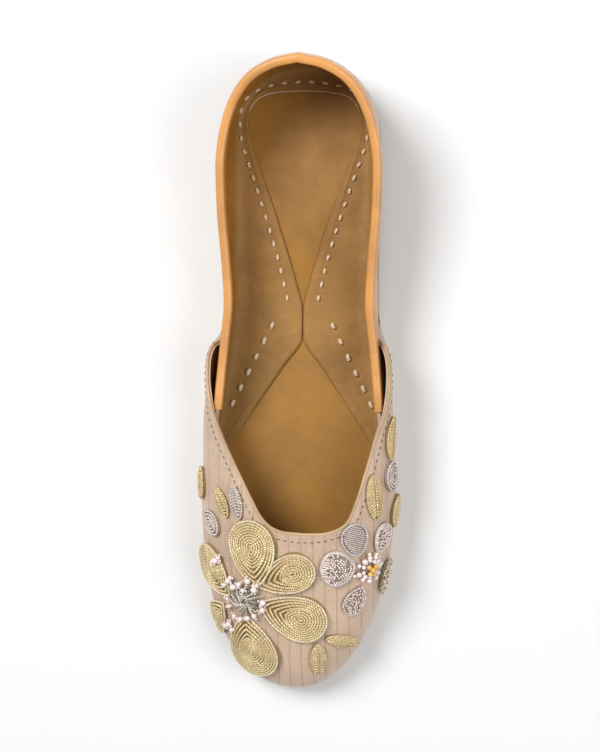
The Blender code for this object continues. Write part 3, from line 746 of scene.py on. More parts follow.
def vamp_cloth(sizes, colour):
    """Dusty pink slubbed silk, quilted by lengthwise rows of stitching."""
    made, w, shader = new_material("vamp_cloth", colour, 0.62, Sheen_Weight=0.35, Sheen_Roughness=0.4)
    weave = w.group(effect("weave"))
    place = w.place()
    x = w.add("ShaderNodeSeparateXYZ", {0: place}).outputs["X"]
    waver = w.math("MULTIPLY", w.math("SUBTRACT", w.noise(place, 22.0, 2.0), 0.5), 1.2 * MM)
    row = w.math("DIVIDE", w.math("ADD", x, waver), sizes.quilt_spacing)
    from_row = w.math("ABSOLUTE", w.math("SUBTRACT", w.math("FRACT", row), 0.5))
    groove = w.span(from_row, 0.0, 0.09)
    tone = w.span(weave["Tone"], 0.3, 0.7)
    body = w.blend(tone, shade(colour, 0.84), shade(colour, 1.13))
    w.feed(shader["Base Color"], w.blend(groove, shade(colour, 0.86), body))
    w.feed(shader["Roughness"], w.span(tone, 0.0, 1.0, 0.7, 0.5))
    height = w.math("MULTIPLY_ADD", weave["Height"], 0.35, w.math("MULTIPLY", groove, 1.0))
    w.feed(shader["Normal"], bump(w, height, 0.7, 0.25))
    return made


def metal_thread(name, colour, dark, pitch, strands, metallic=0.4, roughness=0.36, depth=0.1):
    """Metal-wrapped thread: bright strands with painted shade in the grooves between them."""
    made, w, shader = new_material(name, colour, roughness, metallic)
    strand = w.group(effect("strand"), Pitch=pitch, Strands=strands)
    tone = w.span(strand["Tone"], 0.3, 0.7)
    body = w.blend(tone, shade(colour, 0.84), shade(colour, 1.12))
    # Painted shade: the grooves between strands take the darker colour, on top of the bump.
    w.feed(shader["Base Color"], w.blend(w.span(strand["Height"], -1.0, -0.3), dark, body))
    w.feed(shader["Roughness"], w.span(tone, 0.0, 1.0, roughness + 0.12, roughness - 0.08))
    w.feed(shader["Normal"], bump(w, strand["Height"], 0.8, depth))
    return made


def cotton_thread(name, colour):
    made, w, shader = new_material(name, colour, 0.8, Sheen_Weight=0.3)
    strand = w.group(effect("strand"), Pitch=0.7, Strands=2.0)
    # Painted shade: the thread is darker in the grooves between its strands.
    w.feed(shader["Base Color"], w.blend(w.span(strand["Height"], -1.0, 0.4), shade(colour, 0.6), shade(colour, 1.0)))
    w.feed(shader["Normal"], bump(w, strand["Height"], 0.7, 0.08))
    return made


def gem(name, colour, second, roughness, metallic=0.0, coat=0.8):
    """A glossy bead or pearl with a body colour that drifts from bead to bead."""
    made, w, shader = new_material(name, colour, roughness, metallic, Coat_Weight=coat, Coat_Roughness=0.06)
    drift = w.span(w.noise(w.place(), 320.0, 1.0), 0.35, 0.65)
    w.feed(shader["Base Color"], w.blend(drift, shade(colour, 1.0), shade(second, 1.0)))
    w.feed(shader["Roughness"], w.span(drift, 0.0, 1.0, roughness, roughness + 0.12))
    return made


def stacked_leather(name, colour):
    """The heel's layers: fine level lines between lifts, darker where it is scuffed."""
    made, w, shader = new_material(name, colour, 0.5, Coat_Weight=0.25, Coat_Roughness=0.3)
    place = w.place()
    height = w.add("ShaderNodeSeparateXYZ", {0: place}).outputs["Z"]
    waver = w.math("MULTIPLY", w.noise(place, 60.0, 2.0), 0.25 * MM)
    layer = w.math("FRACT", w.math("DIVIDE", w.math("ADD", height, waver), 1.15 * MM))
    line = w.span(w.math("ABSOLUTE", w.math("SUBTRACT", layer, 0.5)), 0.0, 0.14)
    fibre = w.noise(w.stretch(place, (400.0, 400.0, 2600.0)), 1.0, 3.0)
    body = w.blend(fibre, shade(colour, 0.75), shade(colour, 1.25))
    wear = w.group(effect("wear"), Reach=0.009, Patches=50.0)["Mask"]
    lined = w.blend(line, shade(colour, 0.4), body)
    w.feed(shader["Base Color"], w.blend(w.math("MULTIPLY", wear, 0.5), lined, shade(colour, 0.45)))
    w.feed(shader["Roughness"], w.span(wear, 0.0, 1.0, 0.45, 0.75))
    w.feed(shader["Normal"], bump(w, w.math("MULTIPLY_ADD", fibre, 0.3, line), 0.6, 0.15))
    return made


def material(name):
    """A finish by its plain name, made once."""
    scene = bpy.context.scene
    colours, sizes = scene.mojari_colours, scene.mojari_sizes
    makers = {
        "cloth": lambda: vamp_cloth(sizes, colours.cloth),
        # Lining, foot bed and wings: their darkening low in the shoe is painted shade under the vamp.
        "lining": lambda: leather("lining_leather", colours.lining, 0.5, 1500.0, 120.0, 0.1, 0.2, 0.3, 0.04),
        "foot_bed": lambda: leather("foot_bed_leather", colours.foot_bed, 0.5, 1300.0, 60.0, 0.08, 0.16, 0.3, 0.04),
        "wing": lambda: leather("wing_leather", colours.wing, 0.62, 1100.0, 160.0, 0.14, 0.2, 0.35, 0.0),
        "binding": lambda: leather("binding_leather", colours.binding, 0.42, 1700.0, 150.0, 0.1, 0.16, 0.2, 0.3),
        "piping": lambda: leather("piping_leather", colours.piping, 0.45, 1900.0, 200.0, 0.08, 0.2, 0.2, 0.25),
        "sole": lambda: leather("sole_leather", colours.sole, 0.6, 700.0, 40.0, 0.15, 0.25, 0.7, 0.1),
        "heel": lambda: stacked_leather("heel_leather", colours.heel),
        # The second colour of each cord is painted shade for the grooves between its strands.
        "gold": lambda: metal_thread("gold_cord", colours.gold, shade(colours.gold, 0.5), 0.75, 2.0),
        "pale_gold": lambda: metal_thread("pale_gold_cord", colours.pale_gold, shade(colours.gold, 0.7), 0.75, 2.0),
        # The grounds under the cords: partly their own colour, partly painted shade for the gaps.
        "gold_ground": lambda: cotton_thread("gold_ground", colours.gold_dark),
        "bullion": lambda: metal_thread("gold_bullion", colours.gold, shade(colours.gold_dark, 2.0), 0.5, 1.0),
        "silver": lambda: metal_thread("silver_cord", colours.silver, shade(colours.silver, 0.5), 0.65, 2.0),
        "olive": lambda: metal_thread("olive_cord", colours.olive, shade(colours.olive, 0.4), 0.6, 2.0),
        "cream_cord": lambda: metal_thread("cream_cord", colours.pearl, shade(colours.pearl, 0.55), 0.6, 2.0, 0.1),
        "grey_bead": lambda: gem("grey_beads", (0.30, 0.31, 0.25), (0.55, 0.52, 0.42), 0.15, 0.3),
        "cream_bead": lambda: gem("cream_beads", (0.90, 0.76, 0.52), (0.92, 0.88, 0.80), 0.2),
        "silver_ground": lambda: cotton_thread("silver_ground", colours.silver_dark),
        "pearl": lambda: gem("pearls", colours.pearl, (0.92, 0.74, 0.72), 0.22),
        "glass": lambda: gem("glass_beads", colours.silver, (0.75, 0.72, 0.6), 0.12, 0.45),
        "amber": lambda: gem("amber_beads", colours.amber, (0.85, 0.55, 0.12), 0.1),
        "sequin": lambda: gem("sequins", (0.86, 0.74, 0.7), (0.95, 0.9, 0.86), 0.2, 0.15),
        "cream": lambda: cotton_thread("cream_thread", colours.cream_thread),
        "dark": lambda: cotton_thread("dark_thread", colours.dark_thread),
    }
    if name not in MATERIALS:
        MATERIALS[name] = makers[name]()
    return MATERIALS[name]


def slab(maker, places, inset, bottom, top, bevel, across=24, crown=0.0):
    """A layer that follows the sole's outline, with rounded edges and a top that may swell in the middle."""
    rows = []
    for place in places:
        edge = {side: FOOT_LINES[side].read(place, inset(place))[0] for side in (OUTER, INNER)}
        y = edge[OUTER].y
        low, high = bottom(y), top(y)
        shy = {side: FOOT_LINES[side].read(place, inset(place) + bevel)[0] for side in (OUTER, INNER)}
        row = []
        for turn in spread(-90.0, 90.0, 6):
            reach, rise = math.cos(math.radians(turn)), math.sin(math.radians(turn))
            point = shy[OUTER].lerp(edge[OUTER], reach)
            middle = (high - bevel) if turn > 0 else (low + bevel)
            row.append(Vector((point.x, point.y, middle + bevel * rise)))
        for part in spread(0.0, 1.0, across)[1:-1]:
            point = shy[OUTER].lerp(shy[INNER], part)
            row.append(Vector((point.x, point.y, high + crown * math.sin(math.pi * part) ** 0.7)))
        for turn in spread(90.0, -90.0, 6):
            reach, rise = math.cos(math.radians(turn)), math.sin(math.radians(turn))
            point = shy[INNER].lerp(edge[INNER], reach)
            middle = (high - bevel) if turn > 0 else (low + bevel)
            row.append(Vector((point.x, point.y, middle + bevel * rise)))
        rows.append(row)
    start = maker.grid(rows, wrap_across=True)
    count = len(rows[0])
    maker.cap(start, count, flip=True)
    maker.cap(start + (len(rows) - 1) * count, count)


# A soft trough or ridge in the upper: its middle, the way it runs, and its length, width and depth.
# Troughs have a positive depth and ridges a negative one.
Crease = namedtuple("Crease", "x y z run_x run_y run_z length width depth")
CREASES = [
    Crease(-37.0, -8.0, 17.0, 0.1, 0.6, 0.8, 20.0, 4.0, 0.5),
    Crease(-38.5, -18.0, 18.0, 0.1, 0.5, 0.85, 22.0, 5.0, -0.4),
    Crease(-38.0, -34.0, 20.0, 0.0, 0.7, 0.7, 24.0, 5.0, 0.5),
    Crease(-36.0, -52.0, 25.0, 0.3, 0.85, 0.4, 26.0, 6.0, 0.4),
    Crease(36.5, -6.0, 17.0, -0.1, 0.6, 0.8, 20.0, 4.0, 0.5),
    Crease(37.0, -26.0, 19.0, -0.1, 0.6, 0.8, 22.0, 5.0, 0.45),
    Crease(36.0, -42.0, 21.0, -0.2, 0.8, 0.6, 24.0, 5.0, -0.4),
    Crease(33.0, -66.0, 26.0, -0.4, 0.8, 0.4, 26.0, 6.0, 0.4),
    Crease(6.0, -88.0, 33.0, 0.95, 0.2, 0.0, 34.0, 6.0, 0.35),
    Crease(10.0, -101.0, 27.0, 0.95, 0.1, -0.1, 28.0, 5.0, -0.3),
    Crease(-31.0, 62.0, 22.0, 0.0, 0.5, -0.85, 22.0, 5.0, 0.5),
    Crease(-31.0, 48.0, 20.0, 0.0, 0.4, -0.9, 20.0, 5.0, -0.35),
    Crease(-30.5, 30.0, 18.0, 0.0, 0.7, -0.7, 20.0, 5.0, 0.5),
    Crease(31.0, 66.0, 22.0, 0.0, -0.5, -0.85, 22.0, 5.0, 0.5),
    Crease(31.0, 44.0, 20.0, 0.0, -0.5, -0.85, 22.0, 5.0, 0.45),
    Crease(30.5, 28.0, 18.0, 0.0, -0.8, -0.6, 20.0, 5.0, -0.35),
    Crease(-22.0, 110.0, 28.0, 0.4, 0.4, -0.8, 20.0, 5.0, 0.35),
    Crease(20.0, 112.0, 30.0, -0.4, 0.4, -0.8, 22.0, 5.0, 0.4),
    Crease(0.0, 122.0, 24.0, 1.0, 0.0, 0.1, 22.0, 5.0, 0.3),
]
WAVER_SCALE = 0.05
WAVER_DEPTH = 0.35
FREE_HEIGHT = 6.0
RIM_STRIP = 4.0


def crease_depth(point):
    """How far creases and slight unevenness push a point of the upper inward."""
    depth = WAVER_DEPTH * noise.noise(point * WAVER_SCALE)
    for crease in CREASES:
        away = point - Vector((crease.x, crease.y, crease.z))
        run = Vector((crease.run_x, crease.run_y, crease.run_z)).normalized()
        along = away.dot(run)
        beside = (away - run * along).length
        if abs(along) < crease.length and beside < 3 * crease.width:
            fade = math.exp(-(2.0 * along / crease.length) ** 2 - (beside / crease.width) ** 2)
            depth += crease.depth * fade
    return depth


def shell_axis(point):
    """The direction out of the shoe at a point of its upper."""
    y = clamp(point.y, -88.0, 94.0)
    return (point - Vector((0.0, y, 10.0))).normalized()


def upper_stations():
    stations = [(quarter_ring, place) for place in spread(0.0, EAR_BACK - STEP, 46)]
    stations += [(ear_ring, place) for place in spread(EAR_BACK, QUARTER_FRONT, 36)]
    stations += [(vamp_ring, place) for place in spread(QUARTER_FRONT + STEP, 100.0, 62)]
    around = [(ring, OUTER, place) for ring, place in stations]
    return around + [(ring, INNER, place) for ring, place in reversed(stations[1:-1])]


class Shell:
    """The upper's fine surface, which everything sewn to it is set on."""

    def __init__(self):
        self.rows, self.slots = [], []
        for ring, side, place in upper_stations():
            points, slots = ring(side, place)
            rim = max(point.z for point in points)
            self.rows.append([self.creased(point, rim) for point in points])
            self.slots.append(slots)
        maker = Maker()
        maker.grid(self.rows, wrap_across=True, wrap_along=True, slots=self.slots)
        self.maker = maker
        bm = bmesh.new()
        verts = [bm.verts.new(point) for point in maker.points]
        for face in maker.faces:
            bm.faces.new([verts[i] for i in face])
        bmesh.ops.remove_doubles(bm, verts=bm.verts, dist=0.001)
        bmesh.ops.recalc_face_normals(bm, faces=bm.faces)
        self.tree = BVHTree.FromBMesh(bm)
        bm.free()

    def creased(self, point, rim):
        free = clamp((point.z - sole_top(point.y)) / FREE_HEIGHT) * clamp((rim - point.z) / RIM_STRIP)
        return point - shell_axis(point) * (crease_depth(point) * free)


SHELL = []


def shell():
    if not SHELL:
        SHELL.append(Shell())
    return SHELL[0]


Motif = namedtuple("Motif", "name shape x y heading length width thick")
MOTIFS = [
    Motif("gold_petal_1", "petal", -16.2, -66.2, 92, 24.4, 20.6, 1.6),
    Motif("gold_petal_2", "petal", -1.2, -74.8, 24, 19.0, 17.0, 1.4),
    Motif("gold_petal_3", "petal", 1.2, -92.6, -20, 23.0, 20.2, 1.6),
    Motif("gold_petal_4", "petal", -16.6, -107.0, -88, 23.6, 22.6, 1.6),
    Motif("gold_petal_5", "petal", -31.0, -95.0, -146, 17.0, 14.0, 1.4),
    Motif("gold_petal_6", "petal", -32.8, -75.4, 150, 21.0, 18.0, 1.5),
    Motif("gold_flower_centre", "dome", -18.7, -86.0, 0, 9.6, 9.6, 3.0),
    Motif("silver_petal_1", "petal", 16.4, -72.4, 183, 14.0, 14.8, 1.5),
    Motif("silver_petal_2", "petal", 22.4, -61.4, 104, 13.4, 10.8, 1.4),
    Motif("silver_petal_3", "petal", 32.4, -61.6, 58, 12.6, 10.4, 1.4),
    Motif("silver_petal_4", "petal", 33.8, -77.0, -36, 13.4, 12.6, 1.4),
    Motif("silver_petal_5", "petal", 22.6, -85.2, -110, 13.4, 9.2, 1.4),
    Motif("silver_flower_centre", "dome", 27.2, -72.4, 0, 6.4, 6.4, 2.6),
    Motif("front_leaf_1", "leaf", 18.2, -102.2, -24, 15.6, 5.6, 1.4),
    Motif("front_leaf_2", "leaf", 8.6, -109.2, -86, 15.0, 6.0, 1.4),
    Motif("inner_leaf_1", "leaf", 35.2, -23.0, 72, 17.0, 8.4, 1.3),
    Motif("inner_leaf_2", "leaf", 29.4, -45.4, -76, 18.0, 7.6, 1.4),
    Motif("inner_leaf_3", "leaf", 37.2, -51.6, 40, 14.0, 9.0, 1.3),
    Motif("inner_bud", "leaf", 35.6, -37.8, 96, 12.6, 9.4, 1.5),
    Motif("outer_leaf_1", "leaf", -37.2, -42.0, 100, 13.0, 6.0, 1.3),
    Motif("outer_leaf_2", "leaf", -28.2, -48.4, -62, 12.6, 5.2, 1.3),
    Motif("outer_leaf_3", "leaf", -22.4, -47.8, -78, 13.6, 4.8, 1.3),
    Motif("outer_bud", "leaf", -32.6, -57.0, -36, 12.0, 8.4, 1.4),
]
MOTIF_GAP = 0.45
MOTIF_DOME = 0.45
MOTIF_FOLLOW = 0.6
MOTIF_SAG = 3.5
MOTIF_REACH = 20.0
SKY = 100.0
PETAL_FULLNESS = 0.565
PETAL_NECK = 0.2
LEAF_POINT = 0.3
PETAL_MIDDLE = 0.1
NECK_LIE = 0.5


def teardrop(turn, length, width):
    """Outline of a petal: narrow where it leaves the flower's centre and round at its far end."""
    along = (1 - math.cos(turn)) / 2
    return length * (along - 0.5), PETAL_FULLNESS * width * math.sin(turn) * along ** PETAL_NECK


def leaf_shape(turn, length, width):
    across = math.sin(turn)
    return -length * math.cos(turn) / 2, width / 2 * across * abs(across) ** LEAF_POINT


def disc(turn, length, width):
    return length * math.cos(turn) / 2, width * math.sin(turn) / 2


SHAPES = {"petal": teardrop, "leaf": leaf_shape, "dome": disc}


class Seat:
    """Where a motif lies: a flat place on the vamp that sags part of the way round it."""

    def __init__(self, motif):
        self.motif = motif
        self.tree = shell().tree
        self.centre, self.normal = self.tree.ray_cast(Vector((motif.x, motif.y, SKY)), Vector((0, 0, -1)))[:2]
        heading = math.radians(motif.heading)
        along = Vector((math.cos(heading), math.sin(heading), 0.0))
        self.along = (along - self.normal * along.dot(self.normal)).normalized()
        self.across = self.normal.cross(self.along)
        self.shape = SHAPES[motif.shape]
        self.middle = PETAL_MIDDLE * motif.length if motif.shape == "petal" else 0.0

    def at(self, a, b, height):
        flat = self.centre + self.along * a + self.across * b
        hit = self.tree.ray_cast(flat + self.normal * MOTIF_REACH, -self.normal)[0]
        drop = (flat - hit).dot(self.normal) if hit else MOTIF_REACH
        if drop > 0.0:
            drop = MOTIF_SAG * math.tanh(drop * MOTIF_FOLLOW / MOTIF_SAG)
        return flat + self.normal * (height - drop)

    def up(self, a, b):
        """The direction out of the motif at a place on it."""
        step = 0.4
        along = self.at(a + step, b, 0.0) - self.at(a - step, b, 0.0)
        across = self.at(a, b + step, 0.0) - self.at(a, b - step, 0.0)
        return along.cross(across).normalized()

    def outline(self, size, count=72, start=0.0, end=2 * math.pi):
        """Places round the outline, shrunk toward the middle of the round end."""
        found = []
        for turn in spread(start, end, count):
            a, b = self.shape(turn, self.motif.length, self.motif.width)
            found.append((self.middle + (a - self.middle) * size, b * size))
        return found

    def half(self, a):
        """Half the motif's width at a place along it."""
        part = clamp(0.5 + a / self.motif.length, 0.001, 0.999)
        turn = math.acos(1 - 2 * part)
        return abs(self.shape(turn, self.motif.length, self.motif.width)[1])

    def height(self, a, b):
        """The motif's domed height at a place on it."""
        beyond = max(abs(a) - self.motif.length / 2, 0.0)
        size = clamp(abs(b) / max(self.half(a), 0.01), 0.0, 1.0)
        size = max(size, abs(2 * a / self.motif.length) ** 2)
        dome = self.motif.thick * (1.0 - MOTIF_DOME * clamp(size) ** 2)
        return MOTIF_GAP + lerp(dome, NECK_LIE, clamp(beyond / 2.5))

    def lay(self, places, lift, rise=None):
        """Points on the motif's face for a run of places, and the direction out at each of them."""
        points = []
        for i, (a, b) in enumerate(places):
            extra = rise(i / max(len(places) - 1, 1)) if rise else 0.0
            points.append(self.at(a, b, self.height(a, b) + lift + extra))
        return points, [self.up(a, b) for a, b in places]


def even_steps(places, step):
    """The same run of places at even steps."""
    runs = [0.0]
    for before, after in zip(places, places[1:]):
        runs.append(runs[-1] + math.dist(before, after))
    count = max(int(round(runs[-1] / step)), 4)
    found, i = [], 0
    for k in range(count):
        run = runs[-1] * k / count
        while runs[i + 1] < run:
            i += 1
        part = (run - runs[i]) / max(runs[i + 1] - runs[i], 1e-9)
        found.append(tuple(lerp(p, q, part) for p, q in zip(places[i], places[i + 1])))
    return found


def pad(maker, seat, sink, size=0.97, sides=48, rings=8, slot=0):
    """The stuffed ground under a motif's cords: a closed low dome, sunk below the cords."""
    low, high = [], []
    for ring in range(rings):
        part = size * (1.0 - ring / rings)
        places = seat.outline(part, sides)[:-1]
        low.append([seat.at(a, b, MOTIF_GAP * 0.4) for a, b in places])
        high.append([seat.at(a, b, max(seat.height(a, b) - sink, MOTIF_GAP)) for a, b in places])
    start = maker.grid(low[::-1] + high, wrap_across=True, slot=slot)
    maker.cap(start, sides, slot)
    maker.cap(start + (2 * rings - 1) * sides, sides, slot)


def cord(maker, seat, places, look, slot=0, closed=True, lift=0.0, rise=None):
    """One twisted cord laid along places on a motif."""
    steps = even_steps(places, look.step)
    path, ups = seat.lay(steps, lift, rise)
    tube(
        maker, path, ups, look.radius, look.sides, look.strands, look.pitch, look.groove,
        closed=closed, slot=slot, taper=0.0 if closed else 0.5,
    )


CordLook = namedtuple("CordLook", "radius sides strands pitch groove step")
GOLD_CORD = CordLook(0.5, 8, 2, 1.5, 0.1, 0.27)
SILVER_CORD = CordLook(0.46, 8, 2, 1.3, 0.12, 0.25)
BULLION = CordLook(0.5, 8, 0, 1.0, 0.0, 0.5)
FINE_CORD = CordLook(0.34, 6, 2, 1.0, 0.12, 0.22)
CORD_SPACING = 1.04


Petal = namedtuple("Petal", "name neck_run open_rings")
GOLD_PETALS = [
    Petal("gold_petal_1", 3.6, 4),
    Petal("gold_petal_2", 5.6, 4),
    Petal("gold_petal_3", 5.0, 5),
    Petal("gold_petal_4", 4.6, 5),
    Petal("gold_petal_5", 2.6, 3),
    Petal("gold_petal_6", 3.2, 4),
]
NECK_POINT = 0.36
NECK_SPREAD = 1.6
SMALLEST_RING = 1.3


def petal_ring(motif, depth, neck_run):
    """One round of cord in a petal: a teardrop laid a depth inside the petal's outline."""
    squeeze = min(NECK_SPREAD, (motif.length - SMALLEST_RING) / (motif.width / 2) - 1.0)
    front, back = motif.length / 2 - depth, -motif.length / 2 + squeeze * depth - neck_run
    width = motif.width - 2 * depth
    places = []
    for turn in spread(0.0, 2 * math.pi, 96):
        along = (1 - math.cos(turn)) / 2
        pinch = NECK_POINT if neck_run else PETAL_NECK
        places.append((lerp(back, front, along), PETAL_FULLNESS * width * math.sin(turn) * along ** pinch))
    return places


def gold_petal(petal):
    """A petal of gold cord laid in ever smaller teardrops on a stuffed ground."""
    seat = Seat(motif_named(petal.name))
    motif = seat.motif
    maker = Maker()
    pad(maker, seat, 0.75, slot=2)
    rings = int((motif.width / 2 - SMALLEST_RING / 2) / CORD_SPACING) + 1
    for ring in range(rings):
        depth = (ring + 0.45) * CORD_SPACING
        neck_run = petal.neck_run * max(1.0 - ring / petal.open_rings, 0.0)
        cord(maker, seat, petal_ring(motif, depth, neck_run), GOLD_CORD, lift=-0.2, slot=0 if ring else 1)
    looks = [material("gold"), material("pale_gold"), material("gold_ground")]
    maker.build(petal.name + "_cords", looks, [petal.name], "gold_cord")


def motif_named(name):
    return next(motif for motif in MOTIFS if motif.name == name)


def barred(name, look, slot_name, main, ground, slant=0.5, midrib=True, spacing=1.0):
    """A leaf of short bars that slant from a midrib to its edges."""
    seat = Seat(motif_named(name))
    maker = Maker()
    pad(maker, seat, 0.7, slot=1)
    length = seat.motif.length
    count = int(length * 0.86 / spacing)
    for side in (-1, 1):
        for i in range(count):
            a = length * (-0.43 + 0.86 * (i + 0.5) / count)
            reach = seat.half(a) * 0.98
            if reach < 0.6:
                continue
            lean = slant * reach
            places = [(a - lean * (1 - t), side * reach * lerp(0.06, 1.0, t)) for t in spread(0.0, 1.0, 8)]
            cord(maker, seat, places, look, closed=False, lift=-0.15)
    if midrib:
        places = [(a, 0.0) for a in spread(-length * 0.48, length * 0.48, 40)]
        cord(maker, seat, places, FINE_CORD, closed=False, lift=0.25)
    cord(maker, seat, seat.outline(0.97), FINE_CORD, lift=-0.1)
    maker.build(name + "_bars", [material(main), material(ground)], [name], slot_name)


def coiled(name, look, slot_name, main, ground, spacing=1.0):
    """A bud of cord laid in ever smaller rounds."""
    seat = Seat(motif_named(name))
    maker = Maker()
    pad(maker, seat, 0.7, slot=1)
    rings = int(seat.motif.width / 2 / spacing)
    for ring in range(rings):
        size = 1.0 - (ring + 0.5) * spacing / (seat.motif.width / 2)
        if size > 0.08:
            cord(maker, seat, seat.outline(size), look, lift=-0.15)
    maker.build(name + "_coils", [material(main), material(ground)], [name], slot_name)


def beaded(name, radius, light, rim=None, spiky=0.0, dark_share=0.18):
    """A silver petal packed with small beads, here and there one missing, with a rim of cord or of bead ends."""
    seat = Seat(motif_named(name))
    maker = Maker()
    pad(maker, seat, 0.6, slot=1)
    rng = random.Random(name)
    motif = seat.motif
    edge = 0.95 if rim else radius
    rings = int((motif.width / 2 - edge) / (1.8 * radius)) + 1
    for ring in range(rings):
        depth = edge + ring * 1.8 * radius
        size = 1.0 - depth / (motif.width / 2)
        if size < 0.05:
            continue
        for a, b in even_steps(seat.outline(size), 1.9 * radius):
            if rng.random() < dark_share and ring:
                continue
            a, b = a + rng.uniform(-0.1, 0.1), b + rng.uniform(-0.1, 0.1)
            up = seat.up(a, b)
            top = seat.at(a, b, seat.height(a, b) - 0.1 + rng.uniform(-0.1, 0.12))
            bead(maker, top, radius * rng.uniform(0.85, 1.1), up, 0.85, rings=4, sides=7, slot=0 if rng.random() < light else 2)
    if rim:
        cord(maker, seat, seat.outline(0.95), FINE_CORD, slot=3, lift=-0.25)
        cord(maker, seat, seat.outline(0.88), FINE_CORD, slot=0, lift=-0.1)
    if spiky:
        for a, b in even_steps(seat.outline(0.94), 1.5):
            reach = math.hypot(a, b)
            out = (a / reach, b / reach)
            length = spiky * rng.uniform(0.6, 1.0)
            places = [(a + out[0] * length * (t - 0.4), b + out[1] * length * (t - 0.4)) for t in spread(0, 1, 5)]
            points, ups = seat.lay(places, -0.1, lambda part: rng.uniform(0.0, 0.05))
            tube(maker, points, ups, 0.38, 6, slot=2 if rng.random() < 0.5 else 0, taper=0.6)
    looks = [material("silver"), material("silver_ground"), material("olive"), material("cream_cord")]
    maker.build(name + "_beads", looks, [name], "silver_cord")


def hatched(name, spacing, slant, look):
    """A silver petal of fine cords laid slantwise across it, with a rim of cord."""
    seat = Seat(motif_named(name))
    maker = Maker()
    pad(maker, seat, 0.65, slot=1)
    motif = seat.motif
    count = int(motif.length * 0.92 / spacing)
    for i in range(count):
        a = motif.length * lerp(-0.46, 0.46, (i + 0.5) / count)
        reach = seat.half(a) * 0.96
        if reach < 0.5:
            continue
        places = [(a + slant * reach * t, reach * t) for t in spread(-1.0, 1.0, 14)]
        places = [(u, v) for u, v in places if abs(u) < motif.length / 2 and abs(v) <= seat.half(u)]
        if len(places) > 4:
            cord(maker, seat, places, look, closed=False, lift=-0.2)
    cord(maker, seat, seat.outline(0.96), look, slot=2, lift=-0.15)
    looks = [material("silver"), material("silver_ground"), material("cream_cord")]
    maker.build(name + "_cords", looks, [name], "silver_cord")


def bead_string(maker, seat, start, end, radius, arch, rng, slot=0):
    """A string of tiny beads that arches from one place to another on a motif."""
    for a, b in even_steps([start, end], 1.75 * radius) + [end]:
        part = math.dist(start, (a, b)) / max(math.dist(start, end), 1e-6)
        height = seat.height(a, b) * 0.8 + arch * math.sin(math.pi * part)
        size = radius * rng.uniform(0.88, 1.1)
        bead(maker, seat.at(a, b, height + radius * 0.5), size, seat.up(a, b), rings=4, sides=7, slot=slot)


Pearl = namedtuple("Pearl", "a b radius")
GOLD_CENTRE_PEARLS = [
    Pearl(1.6, 8.8, 1.15), Pearl(4.2, 5.6, 1.25), Pearl(5.2, 7.4, 0.8), Pearl(7.2, 0.2, 1.3), Pearl(7.0, -3.0, 1.2),
    Pearl(4.0, -5.4, 1.0), Pearl(1.2, -6.8, 1.1), Pearl(-1.8, -7.6, 1.0), Pearl(-4.6, -7.0, 0.9), Pearl(-7.6, 6.6, 1.1),
    Pearl(-4.8, 5.2, 1.2), Pearl(-2.2, 6.8, 1.0), Pearl(-9.4, 4.4, 0.9), Pearl(-6.4, 8.4, 0.85), Pearl(-0.6, 4.6, 0.9),
    Pearl(-8.2, -1.0, 0.8), Pearl(-7.4, -4.0, 0.85), Pearl(-8.2, -12.0, 1.1), Pearl(-6.6, -14.0, 0.85),
    Pearl(-10.0, -13.4, 0.8), Pearl(-13.6, 13.6, 1.25), Pearl(-12.0, 15.2, 0.8), Pearl(-15.2, 12.6, 0.8),
]
CENTRE_STRINGS = 17


def gold_flower_centre():
    """Strings of tiny silver beads that fan from the middle, ringed by pearls."""
    name = "gold_flower_centre"
    seat = Seat(motif_named(name))
    maker = Maker()
    pad(maker, seat, 1.2, slot=2)
    rng = random.Random(name)
    for i in range(CENTRE_STRINGS):
        turn = 2 * math.pi * (i + rng.uniform(-0.2, 0.2)) / CENTRE_STRINGS
        reach = rng.uniform(5.2, 7.8)
        start = (1.4 * math.cos(turn + 1.2), 1.4 * math.sin(turn + 1.2))
        end = (reach * math.cos(turn), reach * math.sin(turn))
        bead_string(maker, seat, start, end, rng.choice((0.42, 0.5)), rng.uniform(0.4, 1.2), rng, rng.choice((0, 0, 3)))
    for pearl in GOLD_CENTRE_PEARLS:
        lift = seat.height(pearl.a, pearl.b) + pearl.radius * 0.75
        bead(maker, seat.at(pearl.a, pearl.b, lift), pearl.radius, seat.up(pearl.a, pearl.b), rings=8, sides=14, slot=1)
        for k in range(rng.choice((2, 3, 4))):
            turn = rng.uniform(0, 2 * math.pi)
            reach = pearl.radius + 0.5
            a, b = pearl.a + reach * math.cos(turn), pearl.b + reach * math.sin(turn)
            bead(maker, seat.at(a, b, seat.height(a, b) + 0.5), 0.48, seat.up(a, b), rings=4, sides=7, slot=1)
    looks = [material("glass"), material("pearl"), material("silver_ground"), material("grey_bead")]
    maker.build(name + "_beads", looks, [name], "silver_beads")


